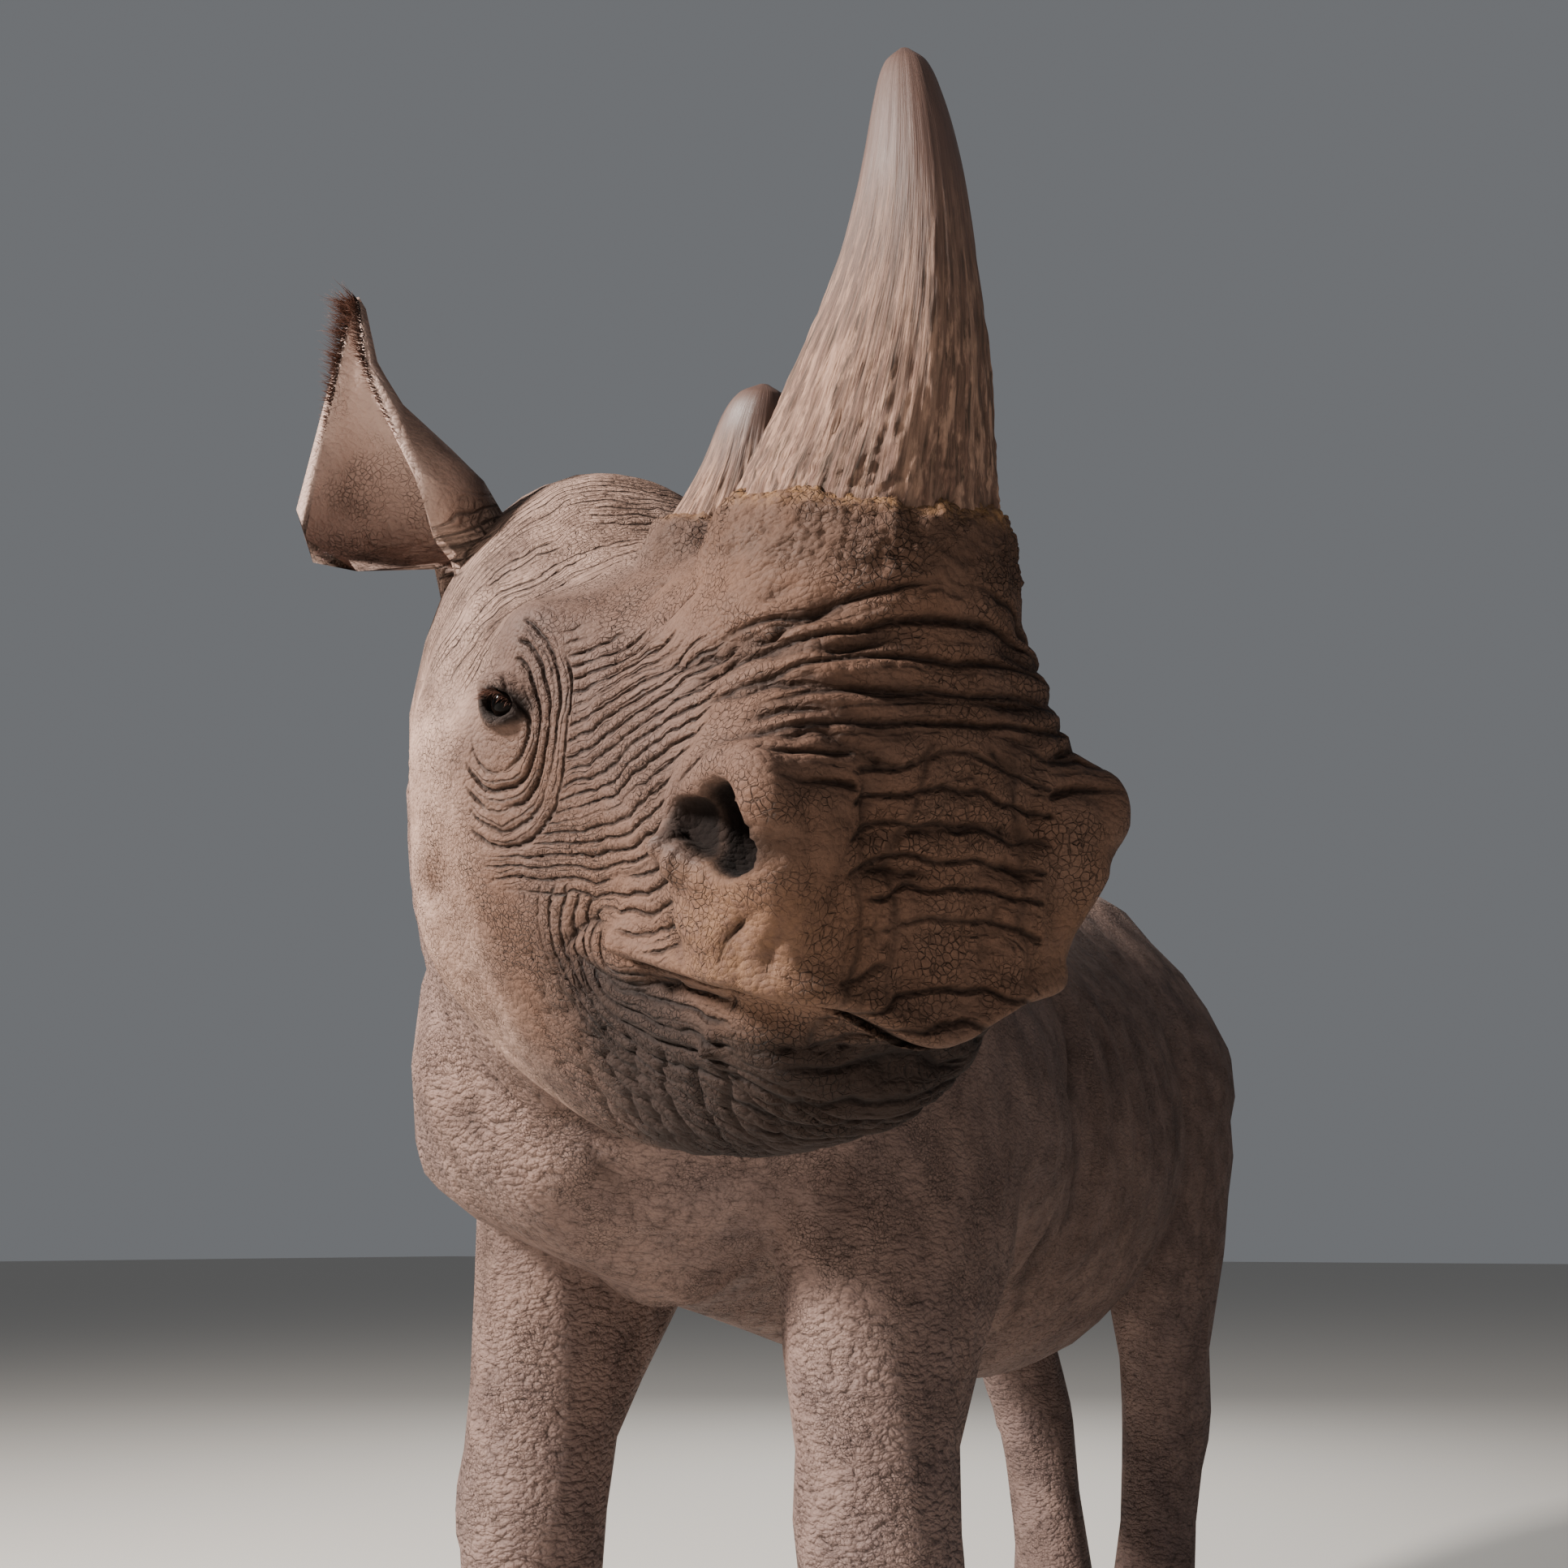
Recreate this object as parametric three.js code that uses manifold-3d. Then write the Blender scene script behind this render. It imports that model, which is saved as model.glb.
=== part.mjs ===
// Black rhinoceros, life size, standing square with its head turned to its left.
//
// Millimetres, +Z up. The animal faces -Y and its left side is +X. Every part of
// flesh is a loft through rings whose sizes come from a short table of stations,
// then the flesh is joined into one body and parted again along thin cuts.

import * as THREE from 'three';
import { LoftGeometry } from 'three/addons/geometries/LoftGeometry.js';
import { mergeVertices } from 'three/addons/utils/BufferGeometryUtils.js';
import Module from 'manifold-3d';

const wasm = await Module();
wasm.setup();

// ---------------------------------------------------------------- dimensions

const GAP = 0.3;
const SLIVER = 0.08;
const UNIT = Math.PI / 180;

// Head: place of the muzzle front at nostril level, and the turn of the head.
const HEAD_AT = new THREE.Vector3(761, -825, 966);
const HEAD_TURN = 64.6 * UNIT;
const HEAD_NOD = 23 * UNIT;
const HEAD_TILT = -7 * UNIT;
const HEAD_RING = 34;
const HEAD_STEP = 20;
const HEAD_CUT = 596;

// Head-local frame: x to the animal's left, y back from the muzzle, z up.
const NOSTRIL = new THREE.Vector3(104, 65, -4);
const NOSTRIL_SIZE = new THREE.Vector3(34, 30, 23);
const NOSTRIL_TURN = 0.3;
const NOSTRIL_TAIL = new THREE.Vector3(118, 96, -8);
const NOSTRIL_TAIL_SIZE = new THREE.Vector3(12, 29, 15);
const MOUTH_CORNER = 184;
const MOUTH_AHEAD = -20;
const MOUTH_ROWS = 8;
const MOUTH_ACROSS = [-220, -110, -66, -36, -14, 14, 36, 66, 110, 220];
const MOUTH_POINT = 44;
const MOUTH_LEVEL = -102;
const MOUTH_RISE = 14;
const MOUTH_DROP = 32;
const MOUTH_GAP = 5;
const EYE = new THREE.Vector3(138, 331, 34);
const EYE_RADIUS = 14;
const EYE_RINGS = 8;
const SOCKET_GAP = 0.5;
const LID_RADIUS = 21;
const LID_STRETCH = new THREE.Vector3(0.92, 1.25, 1.05);
const LID_OPENING = new THREE.Vector3(20, 14, 9.5);
const LID_AHEAD = new THREE.Vector3(16, -7, 0);
const LID_TURN = -0.42;

// Horns, head-local: base centre, tip, half width and half length of the base.
const FRONT_HORN_BASE = new THREE.Vector3(0, 158, 136);
const FRONT_HORN_TIP = new THREE.Vector3(0, 165, 432);
const REAR_HORN_BASE = new THREE.Vector3(0, 314, 146);
const REAR_HORN_TIP = new THREE.Vector3(0, 292, 258);
const BOSS_LEAD = 3;
const BOSS_RING = 16;
const HORNS = {
  horn_front: {
    base: FRONT_HORN_BASE, tip: FRONT_HORN_TIP, wide: 76, long: 90, bow: -24,
    sides: 20, steps: 12,
  },
  horn_rear: {
    base: REAR_HORN_BASE, tip: REAR_HORN_TIP, wide: 50, long: 58, bow: 0,
    sides: 16, steps: 7,
  },
};

// Ears, head-local.
const EAR_BASE = new THREE.Vector3(100, 584, 146);
const EAR_AXIS = new THREE.Vector3(0.5, 0.1, 0.88);
const EAR_OPENS = new THREE.Vector3(0.94, -0.3, 0);
const EAR_CUT_FACES = new THREE.Vector3(0.75, 0, 0.66);
const EAR_CUT = 24;

// Feet on the floor and the joints above them: x, y for each leg.
const FORE_FOOT_LEFT = new THREE.Vector2(268, -12);
const FORE_FOOT_RIGHT = new THREE.Vector2(-230, -10);
const HIND_FOOT_LEFT = new THREE.Vector2(118, 1146);
const HIND_FOOT_RIGHT = new THREE.Vector2(-150, 1400);
const FORE_CUT = 636;
const HIND_CUT_FRONT = 602;
const HIND_CUT_AT = 1050;
const HIND_CUT_SLOPE = 0.32;
const FOOT_BLOCK = [500, 620, 700];
const HIND_BLOCK = [500, 1500, 800];
const HOOF_TALL = 66;
const HOOF_ARC = 6;
const HOOF_STEPS = 5;
const HOOF_OUT = 7;
const HOOF_IN = 22;
const HOOF_FIT = { side: 0.3, face: 2, back: 2.4, under: 1 };

// Where the neck leaves the body: a leaning wall in front of the shoulders.
const NECK_WALL = new THREE.Vector3(0, -218, 1090);
const NECK_WALL_TURN = new THREE.Euler(-0.34, 0, 0.12);

// ---------------------------------------------------------------- number helpers

// A smooth curve through the rows of a table; the first column is the station.
function along(rows, at) {
  const last = rows.length - 1;
  let i = 0;
  while (i < last - 1 && at > rows[i + 1][0]) i += 1;
  const slope = (k, c) => {
    const a = rows[Math.max(k - 1, 0)];
    const b = rows[Math.min(k + 1, last)];
    return (b[c] - a[c]) / (b[0] - a[0]);
  };
  const span = rows[i + 1][0] - rows[i][0];
  const t = Math.min(Math.max((at - rows[i][0]) / span, 0), 1);
  return rows[i].map((value, c) => {
    if (c === 0) return at;
    const next = rows[i + 1][c];
    const h00 = 2 * t ** 3 - 3 * t ** 2 + 1;
    const h10 = t ** 3 - 2 * t ** 2 + t;
    const h01 = 3 * t ** 2 - 2 * t ** 3;
    const h11 = t ** 3 - t ** 2;
    return h00 * value + h10 * span * slope(i, c) + h01 * next + h11 * span * slope(i + 1, c);
  });
}

// Stations from one end of a table to the other, closer together at the ends.
function stations(rows, count) {
  const first = rows[0][0];
  const last = rows[rows.length - 1][0];
  return Array.from({ length: count + 1 }, (_, i) => {
    const t = i / count;
    const eased = 0.5 - 0.5 * Math.cos(Math.PI * t);
    return first + (last - first) * (0.45 * t + 0.55 * eased);
  });
}

// One ring of a body part in its own x and z, narrowed towards top and bottom.
// round is 1 for an oval and less for a ring with squarer shoulders.
function ring(count, { top, bottom, mid, half, narrowTop, narrowBottom, round }) {
  return Array.from({ length: count }, (_, k) => {
    const a = (2 * Math.PI * k) / count;
    const wide = Math.sign(Math.cos(a)) * Math.abs(Math.cos(a)) ** round;
    const tall = Math.sign(Math.sin(a)) * Math.abs(Math.sin(a)) ** round;
    const reach = tall > 0 ? top - mid : mid - bottom;
    const narrow = tall > 0 ? narrowTop : narrowBottom;
    return [half * wide * (1 - narrow * tall * tall), mid + reach * tall];
  });
}

// Soft swellings and hollows: each pushes nearby points, fading with distance.
function swell(point, bumps) {
  const moved = point.clone();
  for (const { at, size, push, paired } of bumps) {
    for (const side of paired ? [1, -1] : [1]) {
      const dx = (point.x - side * at[0]) / size[0];
      const dy = (point.y - at[1]) / size[1];
      const dz = (point.z - at[2]) / size[2];
      const weight = Math.exp(-(dx * dx + dy * dy + dz * dz));
      moved.x += side * push[0] * weight;
      moved.y += push[1] * weight;
      moved.z += push[2] * weight;
    }
  }
  return moved;
}

// ---------------------------------------------------------------- solid helpers

// The triangles of a closed geometry as a solid, its shared corners merged.
function solidOf(geometry) {
  const plain = new THREE.BufferGeometry();
  plain.setAttribute('position', geometry.attributes.position);
  plain.setIndex(geometry.index);
  const merged = mergeVertices(plain, 1e-3);
  const { array } = merged.index;
  const corners = [];
  for (let i = 0; i < array.length; i += 3) {
    const [a, b, c] = array.slice(i, i + 3);
    if (a !== b && b !== c && c !== a) corners.push(a, b, c);
  }
  return new wasm.Manifold(new wasm.Mesh({
    numProp: 3,
    vertProperties: new Float32Array(merged.attributes.position.array),
    triVerts: new Uint32Array(corners),
  }));
}

// The middle of a ring, once for each of its points: it closes a loft's end.
function closing(points) {
  const middle = new THREE.Vector3();
  points.forEach((point) => middle.addScaledVector(point, 1 / points.length));
  return points.map(() => middle.clone());
}

// A closed loft, its rings reversed where that is what turns its faces outward.
function loft(rings) {
  const closed = [closing(rings[0]), ...rings, closing(rings[rings.length - 1])];
  const made = solidOf(new LoftGeometry(closed));
  if (made.volume() > 0) return made;
  return solidOf(new LoftGeometry(closed.map((points) => [...points].reverse())));
}

function box(size, centre, turn = new THREE.Euler()) {
  const geometry = new THREE.BoxGeometry(size[0], size[1], size[2]);
  geometry.applyMatrix4(new THREE.Matrix4().makeRotationFromEuler(turn));
  geometry.translate(centre[0], centre[1], centre[2]);
  return solidOf(geometry);
}

function ball(radius, stretch, rings, matrix) {
  const geometry = new THREE.SphereGeometry(radius, rings * 2, rings);
  geometry.scale(stretch.x, stretch.y, stretch.z);
  geometry.applyMatrix4(matrix);
  return solidOf(geometry);
}

function unite(solids) {
  return solids.reduce((whole, piece) => whole.add(piece));
}

function largest(solid) {
  return solid.decompose().reduce((a, b) => (a.volume() > b.volume() ? a : b));
}

// ---------------------------------------------------------------- torso

// y, back, belly, height of the widest part, half width, narrowing above, below,
// and how far the spine bows to the right, away from the turned head.
const TORSO = [
  [-350, 1150, 900, 1020, 60, 0.1, 0.1, 0],
  [-330, 1220, 840, 1005, 136, 0.2, 0.3, 0],
  [-270, 1330, 785, 990, 214, 0.3, 0.5, 0],
  [-180, 1430, 745, 980, 270, 0.42, 0.6, 0],
  [-60, 1494, 712, 960, 306, 0.5, 0.66, 0],
  [80, 1516, 684, 940, 318, 0.54, 0.66, -4],
  [260, 1486, 646, 930, 326, 0.48, 0.52, -16],
  [480, 1440, 600, 930, 338, 0.4, 0.34, -34],
  [720, 1424, 572, 930, 346, 0.36, 0.24, -46],
  [950, 1434, 580, 940, 338, 0.36, 0.24, -46],
  [1130, 1462, 640, 980, 314, 0.4, 0.28, -34],
  [1320, 1480, 750, 1040, 292, 0.42, 0.3, -20],
  [1480, 1446, 840, 1080, 262, 0.4, 0.2, -8],
  [1590, 1368, 920, 1100, 216, 0.3, 0.2, 0],
  [1655, 1285, 1000, 1120, 144, 0.2, 0.1, 0],
  [1680, 1215, 1060, 1130, 60, 0.1, 0.1, 0],
];

const TORSO_FORMS = [
  { at: [280, 60, 1130], size: [120, 170, 260], push: [26, 0, 0], paired: true },
  { at: [275, 320, 890], size: [120, 130, 200], push: [30, 0, 0], paired: true },
  { at: [300, 520, 960], size: [130, 70, 260], push: [-18, 0, 0], paired: true },
  { at: [-180, -170, 830], size: [110, 120, 120], push: [-64, -14, 0] },
  { at: [270, 1340, 1120], size: [150, 170, 230], push: [14, 0, 0], paired: true },
  { at: [300, 1120, 940], size: [130, 80, 260], push: [-20, 0, 0], paired: true },
  { at: [110, 1330, 1440], size: [90, 120, 60], push: [12, 0, 14], paired: true },
];

const TORSO_RING = 34;
const TORSO_STEPS = 20;

function makeTorso() {
  const rings = stations(TORSO, TORSO_STEPS).map((y) => {
    const [, top, bottom, mid, half, narrowTop, narrowBottom, bow] = along(TORSO, y);
    return ring(TORSO_RING, { top, bottom, mid, half, narrowTop, narrowBottom, round: 0.92 })
      .map(([x, z]) => swell(new THREE.Vector3(x + bow, y, z), TORSO_FORMS));
  });
  return loft(rings);
}

// ---------------------------------------------------------------- head

// y, top, bottom, height of the widest part, half width, narrowing above, below, round.
const HEAD = [
  [27, 8, -92, -42, 54, 0.1, 0.1, 0.8],
  [32, 40, -108, -38, 86, 0.14, 0.2, 0.74],
  [44, 78, -119, -30, 104, 0.18, 0.26, 0.7],
  [62, 108, -134, -22, 113, 0.22, 0.3, 0.7],
  [84, 126, -170, -15, 117, 0.28, 0.36, 0.72],
  [120, 140, -197, -10, 119, 0.32, 0.4, 0.74],
  [175, 148, -224, -5, 120, 0.34, 0.38, 0.76],
  [235, 152, -246, 0, 124, 0.36, 0.34, 0.78],
  [290, 152, -262, 5, 134, 0.38, 0.32, 0.8],
  [345, 148, -274, 4, 150, 0.38, 0.3, 0.84],
  [400, 158, -278, -6, 160, 0.36, 0.3, 0.86],
  [450, 188, -274, -12, 162, 0.3, 0.3, 0.8],
  [500, 209, -258, -8, 151, 0.24, 0.3, 0.8],
  [555, 209, -230, 0, 139, 0.2, 0.3, 0.84],
  [610, 203, -190, 0, 127, 0.22, 0.3, 0.9],
  [655, 160, -130, 8, 106, 0.3, 0.3, 0.95],
  [680, 96, -60, 14, 60, 0.2, 0.2, 1],
];

const HEAD_FORMS = [
  { at: [106, 42, 8], size: [24, 28, 34], push: [20, -10, 3], paired: true },
  { at: [46, 36, 4], size: [13, 34, 28], push: [0, 9, 0], paired: true },
  { at: [0, 30, -108], size: [46, 34, 26], push: [0, -4, -10] },
  { at: [0, 74, -156], size: [66, 40, 36], push: [0, -14, 0] },
  { at: [70, 136, 120], size: [34, 84, 36], push: [24, 0, 4], paired: true },
  { at: [118, 332, 80], size: [36, 58, 28], push: [18, -4, 12], paired: true },
  { at: [166, 415, -6], size: [40, 84, 46], push: [8, 0, 0], paired: true },
  { at: [126, 245, -40], size: [40, 60, 60], push: [-8, 0, 0], paired: true },
  { at: [136, 470, -150], size: [60, 84, 80], push: [10, 0, -4], paired: true },
  { at: [0, 302, 152], size: [64, 70, 40], push: [0, 0, 8] },
];

const HEAD_MATRIX = new THREE.Matrix4().makeTranslation(HEAD_AT)
  .multiply(new THREE.Matrix4().makeRotationZ(HEAD_TURN))
  .multiply(new THREE.Matrix4().makeRotationX(HEAD_NOD))
  .multiply(new THREE.Matrix4().makeRotationY(HEAD_TILT));

function onHead(x, y, z) {
  return new THREE.Vector3(x, y, z).applyMatrix4(HEAD_MATRIX);
}

function makeSkull() {
  const rings = stations(HEAD, HEAD_STEP).map((y) => {
    const [, top, bottom, mid, half, narrowTop, narrowBottom, round] = along(HEAD, y);
    return ring(HEAD_RING, { top, bottom, mid, half, narrowTop, narrowBottom, round })
      .map(([x, z]) => swell(new THREE.Vector3(x, y, z), HEAD_FORMS).applyMatrix4(HEAD_MATRIX));
  });
  return loft(rings);
}

// A ball on the head; turn is the head-local Euler rotation of its own axes.
function headBall(radius, stretch, rings, at, turn = new THREE.Euler()) {
  const matrix = HEAD_MATRIX.clone()
    .multiply(new THREE.Matrix4().makeTranslation(at))
    .multiply(new THREE.Matrix4().makeRotationFromEuler(turn));
  return ball(radius, stretch, rings, matrix);
}

// The slot between the lips, from in front of the muzzle back to the corners.
// It dips round the pointed middle of the upper lip.
function makeMouthSlot() {
  const half = MOUTH_GAP / 2;
  const sheets = [];
  for (let i = 0; i <= MOUTH_ROWS; i += 1) {
    const t = i / MOUTH_ROWS;
    const y = MOUTH_AHEAD + (MOUTH_CORNER - MOUTH_AHEAD) * t;
    const arch = MOUTH_LEVEL + MOUTH_RISE * Math.sin(Math.PI * (0.5 + 0.5 * t));
    const line = (x) => arch - MOUTH_DROP * (1 - t) * Math.exp(-((x / MOUTH_POINT) ** 2));
    const under = MOUTH_ACROSS.map((x) => onHead(x, y, line(x) - half));
    const over = [...MOUTH_ACROSS].reverse().map((x) => onHead(x, y, line(x) + half));
    sheets.push([...under, ...over]);
  }
  return loft(sheets);
}

// ---------------------------------------------------------------- horns

// Rough hide that rises round the foot of each horn: height, half width, half length.
const FRONT_BOSS = [
  [60, 98, 106],
  [110, 95, 106],
  [140, 90, 102],
  [160, 84, 97],
  [171, 77, 91],
];
const REAR_BOSS = [
  [100, 66, 74],
  [140, 62, 68],
  [156, 57, 62],
  [163, 53, 58],
];

function makeBoss(rows, base) {
  const rings = rows.map(([z, wide, long]) => Array.from({ length: BOSS_RING }, (_, k) => {
    const a = (2 * Math.PI * k) / BOSS_RING;
    return onHead(base.x + wide * Math.cos(a), base.y - BOSS_LEAD + long * Math.sin(a), z);
  }));
  return loft(rings);
}

// share of the height, half width, half length, as parts of the base's own.
HORNS.horn_front.taper = [
  [0, 1.12, 1.06],
  [0.1, 0.97, 0.98],
  [0.22, 0.83, 0.87],
  [0.4, 0.64, 0.7],
  [0.6, 0.45, 0.49],
  [0.78, 0.34, 0.36],
  [0.9, 0.28, 0.27],
  [0.97, 0.19, 0.19],
  [1, 0.05, 0.05],
];

HORNS.horn_rear.taper = [
  [0, 1.1, 1.1],
  [0.2, 0.86, 0.86],
  [0.5, 0.6, 0.62],
  [0.8, 0.46, 0.46],
  [0.94, 0.3, 0.3],
  [1, 0.06, 0.06],
];

// A horn from its base to its tip; bow carries its upper middle forward or back.
function makeHorn({ base, tip, wide, long, taper, bow, sides, steps }, grow) {
  const rings = [];
  for (let i = 0; i <= steps; i += 1) {
    const t = i / steps;
    const [, wideShare, longShare] = along(taper, t);
    const x = base.x + (tip.x - base.x) * t;
    const y = base.y + (tip.y - base.y) * t + bow * Math.sin(Math.PI * t ** 1.3);
    const z = base.z + (tip.z - base.z) * t + grow * (2 * t - 1);
    rings.push(Array.from({ length: sides }, (_, k) => {
      const a = (2 * Math.PI * k) / sides;
      const halfX = wide * wideShare + grow;
      const halfY = long * longShare + grow;
      return onHead(x + halfX * Math.cos(a), y + halfY * Math.sin(a), z);
    }));
  }
  return loft(rings);
}

// ---------------------------------------------------------------- ears

// height, radius, half angle of the wall, wall thickness, flare of the outer rim,
// flare of the inner rim, and how far the ear bows out towards its open side.
const EAR = [
  [-34, 38, 172, 16, 0, 0, 0],
  [-8, 36, 170, 14, 0, 0, 0],
  [6, 35, 158, 12, 1.2, 0.3, 3],
  [28, 35, 138, 10, 1.95, 0.7, 11],
  [54, 34, 126, 9, 2.1, 0.8, 23],
  [84, 30, 114, 9, 1.85, 0.6, 33],
  [116, 23, 104, 8, 1.45, 0.35, 34],
  [150, 17, 96, 7, 1, 0, 25],
  [175, 13, 90, 7, 0.5, 0, 14],
  [190, 9, 86, 6, 0.2, 0, 5],
  [200, 5, 80, 4, 0.1, 0, 0],
];

function earFrame(side) {
  const up = new THREE.Vector3(side * EAR_AXIS.x, EAR_AXIS.y, EAR_AXIS.z).normalize();
  const open = new THREE.Vector3(side * EAR_OPENS.x, EAR_OPENS.y, EAR_OPENS.z);
  open.addScaledVector(up, -open.dot(up)).normalize();
  const across = new THREE.Vector3().crossVectors(up, open).multiplyScalar(side);
  const base = new THREE.Vector3(side * EAR_BASE.x, EAR_BASE.y, EAR_BASE.z);
  return { up, open, across, base };
}

// A wall bent round the ear's axis: closed tube at the foot, open cup above.
function makeEar(side) {
  const { up, open, across, base } = earFrame(side);
  const wall = 9;
  const rings = stations(EAR, 12).map((height) => {
    const [, radius, angle, thick, outward, inward, bow] = along(EAR, height);
    const place = (share, inset) => {
      const bend = 2 * share - 1;
      const a = angle * UNIT * bend;
      const flare = outward * Math.max(0, bend) + inward * Math.max(0, -bend);
      const reach = radius * (1 + flare) - inset;
      return base.clone()
        .addScaledVector(up, height)
        .addScaledVector(open, bow - reach * Math.cos(a))
        .addScaledVector(across, reach * Math.sin(a))
        .applyMatrix4(HEAD_MATRIX);
    };
    const outer = Array.from({ length: wall }, (_, k) => place(k / (wall - 1), 0));
    const inner = Array.from({ length: wall }, (_, k) => place(1 - k / (wall - 1), thick));
    return [...outer, ...inner];
  });
  return loft(rings);
}

// A block outside a plane that lies along the skull at the root of the ear.
function earCutter(side, grow) {
  const { base } = earFrame(side);
  const faces = new THREE.Vector3(side * EAR_CUT_FACES.x, EAR_CUT_FACES.y, EAR_CUT_FACES.z);
  const turn = new THREE.Quaternion().setFromUnitVectors(
    new THREE.Vector3(0, 0, 1),
    faces.normalize(),
  );
  const depth = 400;
  const geometry = new THREE.BoxGeometry(560, 360, depth);
  geometry.translate(0, 0, EAR_CUT - grow + depth / 2);
  geometry.applyQuaternion(turn);
  geometry.translate(base.x, base.y, base.z);
  geometry.applyMatrix4(HEAD_MATRIX);
  return solidOf(geometry);
}

// ---------------------------------------------------------------- neck

const NECK_ROOT = new THREE.Vector3(0, -60, 1080);
const NECK_PULL = 240;
const NECK_HEAD = new THREE.Vector3(14, 560, -24);

// share of the way, half width, reach above, reach below, narrowing above, below.
const NECK = [
  [0, 270, 370, 380, 0.45, 0.3],
  [0.2, 232, 330, 335, 0.45, 0.3],
  [0.45, 172, 268, 275, 0.42, 0.3],
  [0.7, 137, 226, 236, 0.4, 0.3],
  [0.88, 121, 206, 212, 0.38, 0.3],
  [1, 108, 180, 180, 0.35, 0.3],
];

const NECK_RING = 28;
const NECK_STEPS = 9;

function makeNeck() {
  const end = NECK_HEAD.clone().applyMatrix4(HEAD_MATRIX);
  const back = new THREE.Vector3(0, 1, 0).transformDirection(HEAD_MATRIX);
  const path = new THREE.CubicBezierCurve3(
    NECK_ROOT,
    NECK_ROOT.clone().add(new THREE.Vector3(0, -NECK_PULL, 60)),
    end.clone().addScaledVector(back, NECK_PULL * 0.55),
    end,
  );
  const bodyTurn = new THREE.Quaternion();
  const headTurn = new THREE.Quaternion().setFromRotationMatrix(HEAD_MATRIX);
  const rings = [];
  for (let i = 0; i <= NECK_STEPS; i += 1) {
    const t = i / NECK_STEPS;
    const [, half, above, below, narrowTop, narrowBottom] = along(NECK, t);
    const turn = bodyTurn.clone().slerp(headTurn, t * t * (3 - 2 * t));
    const middle = path.getPoint(t);
    const shape = {
      top: above, bottom: -below, mid: 0, half, narrowTop, narrowBottom, round: 0.92,
    };
    rings.push(ring(NECK_RING, shape).map(([x, z]) => (
      new THREE.Vector3(x, 0, z).applyQuaternion(turn).add(middle)
    )));
  }
  return loft(rings);
}

// ---------------------------------------------------------------- legs

// height, x and y from the foot, half width, half length.
const FORE_LEG = [
  [0, 0, 0, 100, 108],
  [10, 0, 0, 106, 114],
  [40, 0, 0, 108, 116],
  [90, 0, 4, 102, 106],
  [140, 0, 12, 88, 90],
  [210, 0, 14, 78, 78],
  [320, 0, 12, 76, 76],
  [410, 0, 4, 82, 84],
  [480, -2, -6, 90, 92],
  [560, -4, 6, 88, 102],
  [660, -6, 42, 98, 146],
  [780, -8, 94, 112, 206],
  [920, -20, 120, 120, 246],
  [1060, -44, 110, 106, 222],
  [1150, -66, 96, 60, 130],
];

const HIND_LEG = [
  [0, 0, 0, 92, 100],
  [10, 0, 0, 97, 106],
  [40, 0, 0, 99, 108],
  [90, 0, 8, 94, 98],
  [140, 0, 20, 80, 82],
  [210, 0, 34, 70, 70],
  [300, 2, 52, 66, 68],
  [390, 4, 74, 70, 84],
  [450, 6, 86, 74, 92],
  [530, 8, 74, 76, 92],
  [620, 10, 50, 80, 120],
  [720, 12, 48, 94, 170],
  [850, 12, 62, 114, 222],
  [1000, 8, 80, 128, 246],
  [1140, -6, 84, 116, 226],
  [1250, -20, 84, 66, 130],
];

const LEG_RING = 18;
const LEG_STEPS = 14;
const LEG_LEAN = [60, 820];

// shift is how far the hip lies from the foot's own line, in x and y.
function makeLeg(rows, foot, side, shift) {
  const rings = stations(rows, LEG_STEPS).map((z) => {
    const [, x, y, half, long] = along(rows, z);
    const share = Math.min(Math.max((z - LEG_LEAN[0]) / (LEG_LEAN[1] - LEG_LEAN[0]), 0), 1);
    const eased = share * share * (3 - 2 * share);
    return Array.from({ length: LEG_RING }, (_, k) => {
      const a = (2 * Math.PI * k) / LEG_RING;
      return new THREE.Vector3(
        foot.x + side * x + shift.x * eased + half * Math.cos(a),
        foot.y + y + shift.y * eased + long * Math.sin(a),
        z,
      );
    });
  });
  return loft(rings);
}

// ---------------------------------------------------------------- hooves

const FORE_SOLE = [106, 114];
const HIND_SOLE = [97, 106];
const HOOVES = [
  { name: 'middle', at: -90, spread: 27 },
  { name: 'outer', at: -38, spread: 19 },
  { name: 'inner', at: -142, spread: 19 },
];

// height share, share of the spread, lean towards the foot.
const HOOF = [
  [0, 1, 0],
  [0.25, 1, 1],
  [0.55, 0.92, 5],
  [0.8, 0.72, 10],
  [0.94, 0.46, 15],
  [1, 0.2, 18],
];

function makeHoof(foot, sole, at, spread, grow) {
  const arc = HOOF_ARC;
  const rings = Array.from({ length: HOOF_STEPS + 1 }, (_, i) => {
    const share = i / HOOF_STEPS;
    const [, wide, lean] = along(HOOF, share);
    const z = share === 0 && grow > 0 ? -HOOF_FIT.under : share * (HOOF_TALL + grow);
    const half = (spread * wide + (grow > 0 ? HOOF_FIT.side : 0)) * UNIT;
    const place = (k, out) => {
      const a = at * UNIT + half * (2 * k / (arc - 1) - 1);
      return new THREE.Vector3(
        foot.x + (sole[0] + out - lean) * Math.cos(a),
        foot.y + (sole[1] + out - lean) * Math.sin(a),
        z,
      );
    };
    const outside = HOOF_OUT + HOOF_FIT.face * grow;
    const inside = -HOOF_IN - HOOF_FIT.back * grow;
    const outer = Array.from({ length: arc }, (_, k) => place(k, outside));
    const inner = Array.from({ length: arc }, (_, k) => place(arc - 1 - k, inside));
    return [...outer, ...inner];
  });
  return loft(rings);
}

// ---------------------------------------------------------------- tail

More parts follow.
